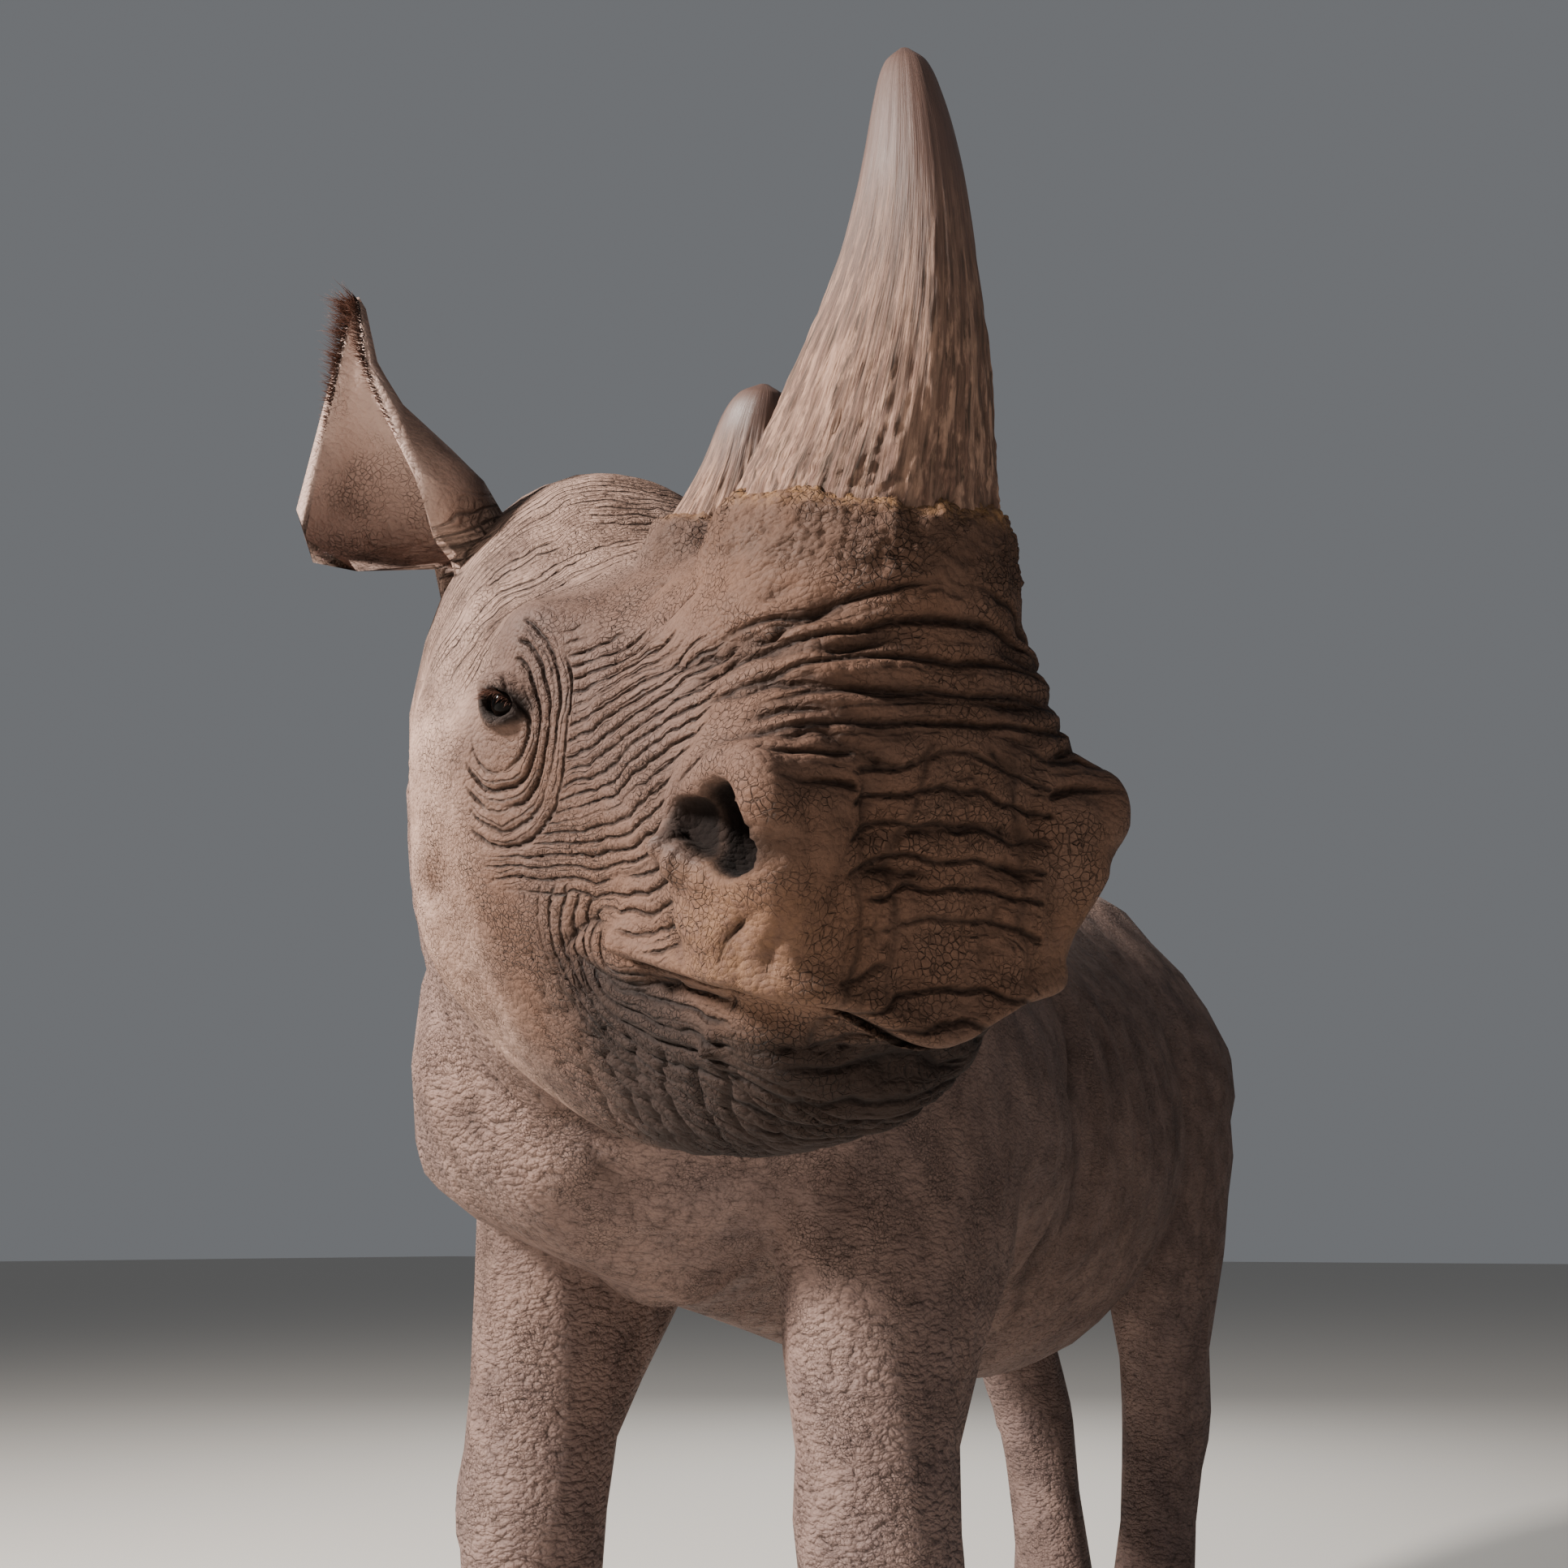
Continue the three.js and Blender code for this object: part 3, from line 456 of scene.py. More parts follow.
@dataclass(frozen=True)
class Torso:
    """The barrel of the body, from the brisket to the rump."""

    # y, back, belly, widest height, half width, narrowing above, below, bow to the right
    rows: Rows = (
        (-350, 1150, 900, 1020, 60, 0.1, 0.1, 0),
        (-330, 1220, 840, 1005, 136, 0.2, 0.3, 0),
        (-270, 1330, 785, 990, 214, 0.3, 0.5, 0),
        (-180, 1430, 745, 980, 270, 0.42, 0.6, 0),
        (-60, 1494, 712, 960, 306, 0.5, 0.66, 0),
        (80, 1516, 684, 940, 318, 0.54, 0.66, -4),
        (260, 1486, 646, 930, 326, 0.48, 0.52, -16),
        (480, 1440, 600, 930, 338, 0.4, 0.34, -34),
        (720, 1424, 572, 930, 346, 0.36, 0.24, -46),
        (950, 1434, 580, 940, 338, 0.36, 0.24, -46),
        (1130, 1462, 640, 980, 314, 0.4, 0.28, -34),
        (1320, 1480, 750, 1040, 292, 0.42, 0.3, -20),
        (1480, 1446, 840, 1080, 262, 0.4, 0.2, -8),
        (1590, 1368, 920, 1100, 216, 0.3, 0.2, 0),
        (1655, 1285, 1000, 1120, 144, 0.2, 0.1, 0),
        (1680, 1215, 1060, 1130, 60, 0.1, 0.1, 0),
    )
    forms: tuple[Form, ...] = (
        Form((280, 60, 1130), (120, 170, 260), (26, 0, 0)),
        Form((275, 320, 890), (120, 130, 200), (30, 0, 0)),
        Form((300, 520, 960), (130, 70, 260), (-18, 0, 0)),
        Form((-180, -170, 830), (110, 120, 120), (-64, -14, 0), paired=False),
        Form((270, 1340, 1120), (150, 170, 230), (14, 0, 0)),
        Form((300, 1120, 940), (130, 80, 260), (-20, 0, 0)),
        Form((110, 1330, 1440), (90, 120, 60), (12, 0, 14)),
    )
    rounding: float = 0.92

    def grid(self, steps: int = 150, count: int = 220) -> Array:
        """Rings of the barrel, on the animal."""
        y = stations(self.rows, steps)
        row = along(self.rows, y)
        shape = np.column_stack([row[:, :6], np.full(len(y), self.rounding)])
        x, z = oval_rings(shape, count)
        points = np.stack([x + row[:, 6:7], np.broadcast_to(y[:, None], x.shape), z], -1)
        return swell(points, self.forms)


@dataclass(frozen=True)
class Skull:
    """The head without ears or horns, in its own frame."""

    # y, top, bottom, widest height, half width, narrowing above, below, round
    rows: Rows = (
        (27, 8, -92, -42, 54, 0.1, 0.1, 0.8),
        (32, 40, -108, -38, 86, 0.14, 0.2, 0.74),
        (44, 78, -119, -30, 104, 0.18, 0.26, 0.7),
        (62, 108, -134, -22, 113, 0.22, 0.3, 0.7),
        (84, 126, -170, -15, 117, 0.28, 0.36, 0.72),
        (120, 140, -197, -10, 119, 0.32, 0.4, 0.74),
        (175, 148, -224, -5, 120, 0.34, 0.38, 0.76),
        (235, 152, -246, 0, 124, 0.36, 0.34, 0.78),
        (290, 152, -262, 5, 134, 0.38, 0.32, 0.8),
        (345, 148, -274, 4, 150, 0.38, 0.3, 0.84),
        (400, 158, -278, -6, 160, 0.36, 0.3, 0.86),
        (450, 188, -274, -12, 162, 0.3, 0.3, 0.8),
        (500, 209, -258, -8, 151, 0.24, 0.3, 0.8),
        (555, 209, -230, 0, 139, 0.2, 0.3, 0.84),
        (610, 203, -190, 0, 127, 0.22, 0.3, 0.9),
        (655, 160, -130, 8, 106, 0.3, 0.3, 0.95),
        (680, 96, -60, 14, 60, 0.2, 0.2, 1),
    )
    forms: tuple[Form, ...] = (
        Form((106, 42, 8), (24, 28, 34), (20, -10, 3)),
        Form((46, 36, 4), (13, 34, 28), (0, 9, 0)),
        Form((0, 30, -108), (46, 34, 26), (0, -4, -10), paired=False),
        Form((0, 74, -156), (66, 40, 36), (0, -14, 0), paired=False),
        Form((70, 136, 120), (34, 84, 36), (24, 0, 4)),
        Form((118, 332, 80), (36, 58, 28), (18, -4, 12)),
        Form((166, 415, -6), (40, 84, 46), (8, 0, 0)),
        Form((126, 245, -40), (40, 60, 60), (-8, 0, 0)),
        Form((136, 470, -150), (60, 84, 80), (10, 0, -4)),
        Form((0, 302, 152), (64, 70, 40), (0, 0, 8), paired=False),
    )

    def grid(self, steps: int = 190, count: int = 300) -> Array:
        """Rings of the head, in its own frame."""
        y = stations(self.rows, steps)
        x, z = oval_rings(along(self.rows, y), count)
        return swell(np.stack([x, np.broadcast_to(y[:, None], x.shape), z], -1), self.forms)


@dataclass(frozen=True)
class Neck:
    """The neck, on a curve from between the shoulders to the back of the head."""

    root: Point = (0.0, -60.0, 1080.0)
    pull: float = 240.0
    head_end: Point = (14.0, 560.0, -24.0)
    # share of the way, half width, reach above, reach below, narrowing above, below
    rows: Rows = (
        (0, 270, 370, 380, 0.45, 0.3),
        (0.2, 232, 330, 335, 0.45, 0.3),
        (0.45, 172, 268, 275, 0.42, 0.3),
        (0.7, 137, 226, 236, 0.4, 0.3),
        (0.88, 121, 206, 212, 0.38, 0.3),
        (1, 108, 180, 180, 0.35, 0.3),
    )
    rounding: float = 0.92

    def grid(self, head: HeadPose, steps: int = 90, count: int = 240) -> Array:
        """Rings set on a Bezier curve and turned by degrees from body to head."""
        end = head.out(np.array(self.head_end))
        rotation = head.rotation()
        root = np.array(self.root)
        ahead = root + np.array((0, -self.pull, 60))
        behind = end + rotation @ np.array((0, 1, 0)) * self.pull * 0.55
        t = np.linspace(0, 1, steps + 1)[:, None]
        path = ((1 - t) ** 3 * root + 3 * (1 - t) ** 2 * t * ahead
                + 3 * (1 - t) * t**2 * behind + t**3 * end)
        angle = np.arccos((np.trace(rotation) - 1) / 2)
        axis = np.array([rotation[2, 1] - rotation[1, 2], rotation[0, 2] - rotation[2, 0],
                         rotation[1, 0] - rotation[0, 1]])
        turns = turn_matrix(axis, angle * smoothstep(0, 1, t[:, 0]))
        half, above, below, narrow_top, narrow_bottom = along(self.rows, t[:, 0]).T
        zero = np.zeros_like(half)
        shape = np.column_stack([above, -below, zero, half, narrow_top, narrow_bottom,
                                 zero + self.rounding])
        x, z = oval_rings(shape, count)
        flat = np.stack([x, np.zeros_like(x), z], -1)
        return np.einsum("sij,skj->ski", turns, flat) + path[:, None]


class Limb(Enum):
    """The four legs: side of the body, and whether it is a foreleg."""

    FORE_LEFT = ("fore_left", 1, True)
    FORE_RIGHT = ("fore_right", -1, True)
    HIND_LEFT = ("hind_left", 1, False)
    HIND_RIGHT = ("hind_right", -1, False)

    @property
    def label(self) -> str:
        """The limb's name, as its nodes use it."""
        return self.value[0]

    @property
    def side(self) -> int:
        """1 on the left side and -1 on the right."""
        return self.value[1]

    @property
    def fore(self) -> bool:
        """True for a foreleg."""
        return self.value[2]


@dataclass(frozen=True)
class Leg:
    """One leg from its sole to where it sinks into the body."""

    limb: Limb
    foot: tuple[float, float]
    shift: tuple[float, float]

    # height, x and y from the foot, half width, half length
    FORE_ROWS = (
        (0, 0, 0, 100, 108), (10, 0, 0, 106, 114), (40, 0, 0, 108, 116), (90, 0, 4, 102, 106),
        (140, 0, 12, 88, 90), (210, 0, 14, 78, 78), (320, 0, 12, 76, 76), (410, 0, 4, 82, 84),
        (480, -2, -6, 90, 92), (560, -4, 6, 88, 102), (660, -6, 42, 98, 146),
        (780, -8, 94, 112, 206), (920, -20, 120, 120, 246), (1060, -44, 110, 106, 222),
        (1150, -66, 96, 60, 130),
    )
    HIND_ROWS = (
        (0, 0, 0, 92, 100), (10, 0, 0, 97, 106), (40, 0, 0, 99, 108), (90, 0, 8, 94, 98),
        (140, 0, 20, 80, 82), (210, 0, 34, 70, 70), (300, 2, 52, 66, 68), (390, 4, 74, 70, 84),
        (450, 6, 86, 74, 92), (530, 8, 74, 76, 92), (620, 10, 50, 80, 120),
        (720, 12, 48, 94, 170), (850, 12, 62, 114, 222), (1000, 8, 80, 128, 246),
        (1140, -6, 84, 116, 226), (1250, -20, 84, 66, 130),
    )

    @property
    def rows(self) -> Rows:
        """The table for this kind of leg."""
        return self.FORE_ROWS if self.limb.fore else self.HIND_ROWS

    def middle(self, z: Array) -> Array:
        """x and y of the leg's axis, and its half width and length, at each height."""
        x, y, half, long = along(self.rows, z).T
        eased = smoothstep(60, 820, z)
        return np.stack([self.foot[0] + self.limb.side * x + self.shift[0] * eased,
                         self.foot[1] + y + self.shift[1] * eased, half, long], -1)

    def grid(self, steps: int = 150, count: int = 110) -> Array:
        """Oval rings up the leg, on the animal."""
        z = stations(self.rows, steps)
        row = self.middle(z)[:, :, None]
        a = circle(count)
        return np.stack([row[:, 0] + row[:, 2] * np.cos(a), row[:, 1] + row[:, 3] * np.sin(a),
                         np.broadcast_to(z[:, None], (len(z), count))], -1)


@dataclass(frozen=True)
class Ear:
    """One ear: a wall bent round an axis, closed at the foot and an open cup above."""

    side: int
    base: Point = (100.0, 584.0, 146.0)
    axis: Point = (0.5, 0.1, 0.88)
    opens: Point = (0.94, -0.3, 0.0)
    # height, radius, half angle of the wall, thickness, flare of the outer and of the
    # inner rim, bow of the ear towards its open side
    rows: Rows = (
        (-34, 38, 172, 16, 0, 0, 0), (-8, 36, 170, 14, 0, 0, 0), (6, 35, 158, 12, 1.2, 0.3, 3),
        (28, 35, 138, 10, 1.95, 0.7, 11), (54, 34, 126, 9, 2.1, 0.8, 23),
        (84, 30, 114, 9, 1.85, 0.6, 33), (116, 23, 104, 8, 1.45, 0.35, 34),
        (150, 17, 96, 7, 1, 0, 25), (175, 13, 90, 7, 0.5, 0, 14), (190, 9, 86, 6, 0.2, 0, 5),
        (200, 5, 80, 4, 0.1, 0, 0),
    )

    def directions(self) -> tuple[Array, Array, Array]:
        """Unit vectors up the ear, out of its cup and across it, in the head's frame."""
        up = unit(mirrored(self.axis, self.side))
        out = mirrored(self.opens, self.side)
        out = unit(out - up * (out @ up))
        return up, out, np.cross(up, out) * self.side

    def foot(self) -> Array:
        """The middle of the ear's foot, in the head's frame."""
        return mirrored(self.base, self.side)

    def sheet(self, height: Array, share: Array, inset: Array | float) -> Array:
        """Points of the wall in the head's frame.

        The wall runs over the angle a = half angle * b about the axis, b = 2 share - 1,
        and its reach from the axis is radius * (1 + flare * |b|) - inset * thickness,
        with the outer rim's flare for b above 0 and the inner rim's below.

        Args:
            height: places up the ear.
            share: 0 at the inner rim and 1 at the outer.
            inset: 0 on the back of the ear and 1 on the inside of the cup.
        """
        up, out, across = self.directions()
        table = along(self.rows, height.ravel()).T.reshape(6, *height.shape)
        radius, angle, thick, outward, inward, bow = table
        bend = 2 * share - 1
        a = np.radians(angle) * bend
        flare = outward * np.maximum(0, bend) + inward * np.maximum(0, -bend)
        reach = radius * (1 + flare) - inset * thick
        return (self.foot() + up * height[..., None] + out * (bow - reach * np.cos(a))[..., None]
                + across * (reach * np.sin(a))[..., None])

    def grid(self, steps: int = 90, wall: int = 70) -> Array:
        """Rings that run up the back of the wall and return along the inside."""
        height = stations(self.rows, steps)[:, None]
        share = np.linspace(0, 1, wall)[None]
        height, share = np.broadcast_arrays(height, share)
        outer = self.sheet(height, share, 0.0)
        inner = self.sheet(height, share[:, ::-1], 1.0)
        return np.concatenate([outer, inner], axis=1)


@dataclass(frozen=True)
class Tail:
    """The dock of the tail, hanging down behind the rump."""

    # share of the way, x, y, z
    path: Rows = (
        (0, 0, 1590, 1318), (0.12, 0, 1668, 1300), (0.26, 0, 1722, 1230),
        (0.5, 2, 1742, 1060), (0.75, 6, 1738, 880), (0.92, 8, 1732, 770), (1, 8, 1730, 720),
    )
    # share of the way, half width, half depth
    size: Rows = (
        (0, 46, 40), (0.2, 34, 30), (0.45, 22, 19), (0.75, 16, 13), (0.95, 13, 10), (1, 8, 7),
    )

    def middle(self, share: Array) -> Array:
        """Places on the tail's axis."""
        return along(self.path, share)

    def grid(self, steps: int = 120, count: int = 36) -> Array:
        """Oval rings square to the axis."""
        t = np.linspace(0, 1, steps + 1)
        run = unit(self.middle(np.minimum(t + 0.02, 1)) - self.middle(np.maximum(t - 0.02, 0)))
        out = unit(np.stack([np.zeros_like(t), -run[:, 2], run[:, 1]], -1))
        wide, deep = along(self.size, t).T
        a = circle(count)[..., None]
        across = np.array((1.0, 0.0, 0.0))
        return (self.middle(t)[:, None] + wide[:, None, None] * np.cos(a) * across
                + deep[:, None, None] * np.sin(a) * out[:, None])


@dataclass(frozen=True)
class Egg:
    """An egg-shaped swelling or hollow of the head, turned about the upright axis."""

    at: Point
    radii: Point
    turn: float = 0.0

    def frame(self, side: int) -> tuple[Array, Array]:
        """The middle and the turn of the egg on one side of the head."""
        return mirrored(self.at, side), turn_matrix((0, 0, 1), side * self.turn)

    def rings(self, side: int, count: int = 40) -> Array:
        """Rings of the egg: middle + turn * (radii * point of the unit ball)."""
        middle, turn = self.frame(side)
        u = np.linspace(0.02, np.pi - 0.02, count)[:, None]
        v = circle(2 * count)
        ball = np.stack(np.broadcast_arrays(np.sin(u) * np.cos(v), np.sin(u) * np.sin(v),
                                            np.cos(u)), -1)
        return (ball * np.array(self.radii)) @ turn.T + middle

    def share(self, points: Array) -> Array:
        """Distance from the nearer egg's middle, as a share of its radius that way."""
        nearest = np.full(len(points), 1e9)
        for side in BOTH_SIDES:
            middle, turn = self.frame(side)
            local = (points - middle) @ turn / np.array(self.radii)
            nearest = np.minimum(nearest, np.linalg.norm(local, axis=1))
        return nearest


EYE_LIDS = Egg((138, 331, 34), (19.3, 26.2, 22.0), -0.42)
EYE_OPENING = Egg((154, 324, 34), (20, 14.5, 9.0), -0.42)
EYE_SOCKET = Egg((138, 331, 34), (14.4, 14.4, 14.4))
NOSTRIL = Egg((104, 65, -4), (34.5, 31, 24.0), 0.3)
NOSTRIL_TAIL = Egg((117, 94, -9), (15, 31.0, 16.5))


@dataclass(frozen=True)
class Boss:
    """Rough hide that rises round the foot of a horn, with a ragged upper edge."""

    middle: float
    # height, half width, half length
    rows: Rows
    seed: float

    def grid(self, steps: int = 70, count: int = 200) -> Array:
        """Oval rings up the boss, in the head's frame; the upper ones are ragged."""
        z = stations(self.rows, steps)
        wide, long = along(self.rows, z).T[:, :, None]
        a = circle(count)
        around = np.stack([np.cos(a) * 9, np.sin(a) * 9, 0 * a], -1)
        share = smoothstep(0.55, 1.0, np.linspace(0, 1, steps + 1))[:, None]
        ragged = share * (5.0 * layered_noise(around, self.seed, 2))
        return np.stack([wide * np.cos(a), self.middle + long * np.sin(a),
                         z[:, None] + ragged], -1)

    def near(self, points: Array) -> Array:
        """Distance from the upright through the middle, 1 at the boss's own foot."""
        _, wide, long = self.rows[0]
        return np.hypot(points[:, 0] / wide, (points[:, 1] - self.middle) / long)


FRONT_BOSS = Boss(155, ((60, 98, 106), (110, 95, 106), (140, 90, 102), (160, 84, 97),
                        (171, 78, 92), (177, 66, 80)), 91.0)
REAR_BOSS = Boss(311, ((100, 66, 74), (140, 62, 68), (156, 57, 62), (163, 53, 58),
                       (168, 42, 46)), 95.0)


# ---- folds of the hide


@dataclass(frozen=True)
class Crease:
    """A line where the hide folds in, through a few places, or a round ridge on it."""

    places: tuple[Point, ...]
    deep: float = 5.0
    wide: float = 4.5
    paired: bool = True
    rounded: bool = False

    @property
    def sides(self) -> tuple[int, ...]:
        """The sides of the animal that it lies on."""
        return BOTH_SIDES if self.paired else (1,)

    def line(self, samples: int = 28) -> Array:
        """The places joined by a smooth curve."""
        rows = [(k, *place) for k, place in enumerate(self.places)]
        return along(rows, np.linspace(0, len(self.places) - 1, samples))

    def away(self, points: Array, side: int) -> tuple[Array, Array]:
        """Distance of each point from the line, and the taper towards the line's ends.

        A folded line wavers a little. Far points are 1e9 away.
        """
        line = self.line() * (side, 1, 1)
        reach = 5 * self.wide
        inside = np.all((points > line.min(0) - reach) & (points < line.max(0) + reach), axis=1)
        distance = np.full(len(points), 1e9)
        taper = np.zeros(len(points))
        near = points[inside]
        if not self.rounded:
            near = near + 0.5 * self.wide * grain_noise(near / 16, 5.0)[:, None]
        best = np.full(len(near), 1e9)
        share = np.zeros(len(near))
        for k in range(len(line) - 1):
            step = line[k + 1] - line[k]
            t = np.clip((near - line[k]) @ step / (step @ step), 0, 1)
            gap = np.linalg.norm(near - line[k] - t[:, None] * step, axis=1)
            closer = gap < best
            best = np.where(closer, gap, best)
            share = np.where(closer, (k + t) / (len(line) - 1), share)
        distance[inside] = best
        taper[inside] = np.clip(4.5 * np.minimum(share, 1 - share) + 0.12, 0, 1) ** 0.6
        return distance, taper

    def depth(self, points: Array, side: int) -> Array:
        """How far each point is folded in, at a distance d from the line.

        The depth is deep * end taper * exp(-d / wide), or exp(-(d / wide)^2) if rounded.
        """
        distance, taper = self.away(points, side)
        share = np.minimum(distance / self.wide, 20)
        return self.deep * taper * np.exp(-(share**2) if self.rounded else -share)


# Creases of the head, in its own frame.
FACE_CREASES = (
    Crease(((88, 110, 110), (76, 99, 117), (48, 89, 123), (10, 85, 125)), 6, 5),
    Crease(((107, 190, 65), (100, 136, 80), (91, 97, 92), (76, 81, 105), (54, 77, 113),
            (16, 66, 110), (2, 58, 101)), 8, 5.5),
    Crease(((109, 151, 56), (99, 115, 77), (88, 82, 86), (61, 61, 94), (25, 60, 101),
            (-5, 57, 98)), 8, 5.5),
    Crease(((105, 109, 59), (97, 84, 70), (90, 70, 73), (72, 55, 74), (41, 43, 71),
            (-4, 43, 72)), 8, 5.5),
    Crease(((107, 84, 44), (98, 68, 58), (81, 53, 62), (46, 40, 52), (20, 39, 55)), 7, 5),
    Crease(((115, 110, 27), (105, 70, 43), (84, 46, 50), (60, 40, 41), (36, 34, 36)), 7, 5),
    Crease(((72, 43, 52), (58, 40, 40), (54, 37, 20), (56, 36, 4), (66, 33, -7), (71, 32, -33),
            (75, 35, -53), (80, 40, -75)), 5.2, 5),
    Crease(((42, 35, 31), (39, 32, 6), (42, 33, -14), (31, 29, -35), (23, 27, -61)), 2, 3),
    Crease(((66, 33, -6), (33, 30, 3), (7, 27, 6), (-24, 28, 8)), 6, 4.5),
    Crease(((68, 31, -22), (40, 33, -16), (24, 31, -19), (-5, 28, -21)), 6, 4.5),
    Crease(((120, 124, -30), (121, 126, -8), (118, 112, 14), (112, 92, 30), (104, 66, 38)),
           5, 4.5),
    Crease(((114, 123, -61), (110, 113, -75), (106, 95, -83)), 6, 5),
    Crease(((105, 70, -71), (108, 60, -54), (106, 43, -42))),
    Crease(((94, 47, -74), (95, 42, -57), (89, 38, -44))),
    Crease(((84, 108, -131), (73, 76, -125), (47, 52, -123), (0, 39, -125), (-47, 52, -123),
            (-73, 76, -125), (-84, 108, -131)), 6, 5, paired=False),
    Crease(((92, 99, -113), (98, 85, -96), (98, 62, -80))),
    Crease(((113, 270, -114), (104, 234, -122), (101, 199, -121), (100, 160, -113),
            (99, 143, -100)), 7, 5),
    Crease(((113, 273, -115), (113, 263, -104), (111, 235, -88), (112, 205, -82)), 6, 5),
    Crease(((90, 259, 108), (80, 256, 118), (71, 254, 126)), 4, 4),
    Crease(((97, 216, 93), (94, 196, 105), (92, 182, 113), (86, 160, 122)), 4, 4),
    Crease(((99, 297, 108), (94, 286, 110), (88, 273, 111)), 4, 4),
    Crease(((67, 218, 131), (63, 188, 135), (66, 148, 134), (60, 124, 130)), 4, 4.5),
    Crease(((150, 306, 42), (148, 316, 57), (150, 334, 61), (154, 350, 50)), 4.5, 3.5),
    Crease(((149, 308, 20), (152, 322, 12), (154, 340, 14)), 4, 3.5),
    Crease(((96, 360, -244), (106, 400, -232), (112, 450, -222)), 5, 6),
)

# Round ridges and rolls of the head, in its own frame.
FACE_RIDGES = (
    Crease(((119, 122, -16), (118, 110, 14), (116, 70, 31), (112, 40, 25), (100, 33, -6),
            (95, 38, -40)), 8, 13, rounded=True),
    Crease(((92, 40, 22), (86, 36, 4), (86, 36, -18)), 6, 18, rounded=True),
    Crease(((112, 112, -52), (110, 84, -62), (106, 58, -66)), 8, 14, rounded=True),
    Crease(((122, 226, -84), (116, 200, -88), (110, 172, -84)), 8, 10, rounded=True),
    Crease(((150, 306, 38), (154, 320, 50), (156, 336, 52), (154, 350, 41)), 6.5, 6,
           rounded=True),
    Crease(((148, 312, 26), (152, 322, 20), (154, 338, 22)), 2.5, 5, rounded=True),
)


@dataclass(frozen=True)
class Lump:
    """A round lump of a given height and radius."""

    at: Point
    radius: float
    height: float

    def swelling(self, points: Array, side: int) -> Array:
        """height * exp(-(distance / radius)^2)."""
        away = points - mirrored(self.at, side)
        return self.height * np.exp(-(away**2).sum(1) / self.radius**2)


# Lumps in and under the nostril and the cluster of warts on the chin.
FACE_LUMPS = (
    Lump((120, 121, -23), 10, 14), Lump((117, 103, -30), 9.5, 14), Lump((113, 88, -34), 10, 5),
    Lump((84, 120, -134), 5.5, 7),
    Lump((92, 113, -128), 5, 6), Lump((77, 127, -140), 5.5, 6), Lump((99, 128, -132), 5, 5),
    Lump((89, 131, -146), 5, 5), Lump((70, 112, -140), 6, 4), Lump((94, 146, -141), 6, 4),
)


def deepest(creases: Sequence[Crease], points: Array) -> Array:
    """The largest depth that any of the creases gives each point."""
    depth = np.zeros(len(points))
    for crease in creases:
        for side in crease.sides:
            depth = np.maximum(depth, crease.depth(points, side))
    return depth


# A measure gives each head place a number: millimetres, or how strongly folds show.
Measure = Callable[[Array], Array]
FAINT = 0.02


def slanted(out: float, back: float, up: float) -> Measure:
    """The measure out * |x| + back * y + up * z."""
    return lambda p: out * np.abs(p[:, 0]) + back * p[:, 1] + up * p[:, 2]


def sideways(p: Array) -> Array:
    """The measure from the right of the head to the left."""
    return p[:, 0]


def parted(p: Array) -> tuple[Array, Array, Array]:
    """Distance from the head's middle plane, place along it and height, of each point."""
    return np.abs(p[:, 0]), p[:, 1], p[:, 2]


@dataclass(frozen=True)
class Furrows:
    """Long folds side by side, along the level lines of a measure.

    phase and run measure across and along the folds, and where how strongly they show.
    """

    spacing: float
    offset: float
    deep: float
    wide: float
    phase: Measure
    run: Measure
    where: Measure
    sway: float = 0.2
    gaps: float = 0.25
    roll: float = 0.55

    def lines(self, points: Array, seed: float) -> Array:
        """The level of each point, in spacings, and how strongly folds show there.

        The level is swayed by noise. A line's own weight comes and goes along it.

        Returns:
            Three columns: level, strength times the line's weight, strength alone.
        """
        strength = self.where(points)
        table = np.zeros((len(points), 3))
        here = strength > FAINT
        near = points[here]
        level = (self.phase(near) - self.offset) / self.spacing
        level = level + self.sway * grain_noise(near / (2.4 * self.spacing), seed)
        level = level + 0.35 * self.sway * grain_noise(near / (0.8 * self.spacing), seed + 9)
        line = np.round(level)
        place = np.stack([self.run(near) / (5 * self.spacing), 7.3 * line, 0 * line], -1)
        fade = smoothstep(-0.5, 0.1, grain_noise(place, seed + 1) + 0.5 - 2 * self.gaps)
        weight = fade * (0.6 + 0.4 * chance((line, 0 * line), seed))
        table[here] = np.stack([level, strength[here] * weight, strength[here]], -1)
        return table

    def depth(self, table: Array) -> Array:
        """How far each point is folded in.

        With d the distance to the nearest whole level and r = 2 d, in spacings, the rolls
        between the lines are round: deep * weight * (roll (1 - sqrt(1 - (1 - r)^2))
        + (1 - roll) exp(-d * spacing / wide)).
        """
        ratio = 2 * np.abs(table[:, 0] - np.round(table[:, 0]))
        rolls = 1 - np.sqrt(np.maximum(1 - (1 - ratio) ** 2, 0))
        cracks = np.exp(-0.5 * ratio * self.spacing / self.wide)
        return self.deep * table[:, 1] * (self.roll * rolls + (1 - self.roll) * cracks)


@dataclass(frozen=True)
class FoldBand:
    """A stretch of hide folded into long cells that follow a direction.

    phase and run measure across and along the cells, and where how strongly they show.
    """

    spacing: float
    length: float
    deep: float
    phase: Measure
    run: Measure
    where: Measure

    def depth(self, points: Array, seed: float) -> Array:
        """deep * where * exp(-cell edge / 0.2), on cells of spacing by length."""
        strength = self.where(points)
        folded = np.zeros(len(points))
        here = strength > FAINT
        near = points[here]
        sway = 0.22 * grain_noise(near / 34, seed + 40)
        edge = cell_edge(self.phase(near) / self.spacing + sway,
                         self.run(near) / self.length, seed, jitter_u=0.22)
        folded[here] = self.deep * strength[here] * np.exp(-edge / 0.2)
        return folded


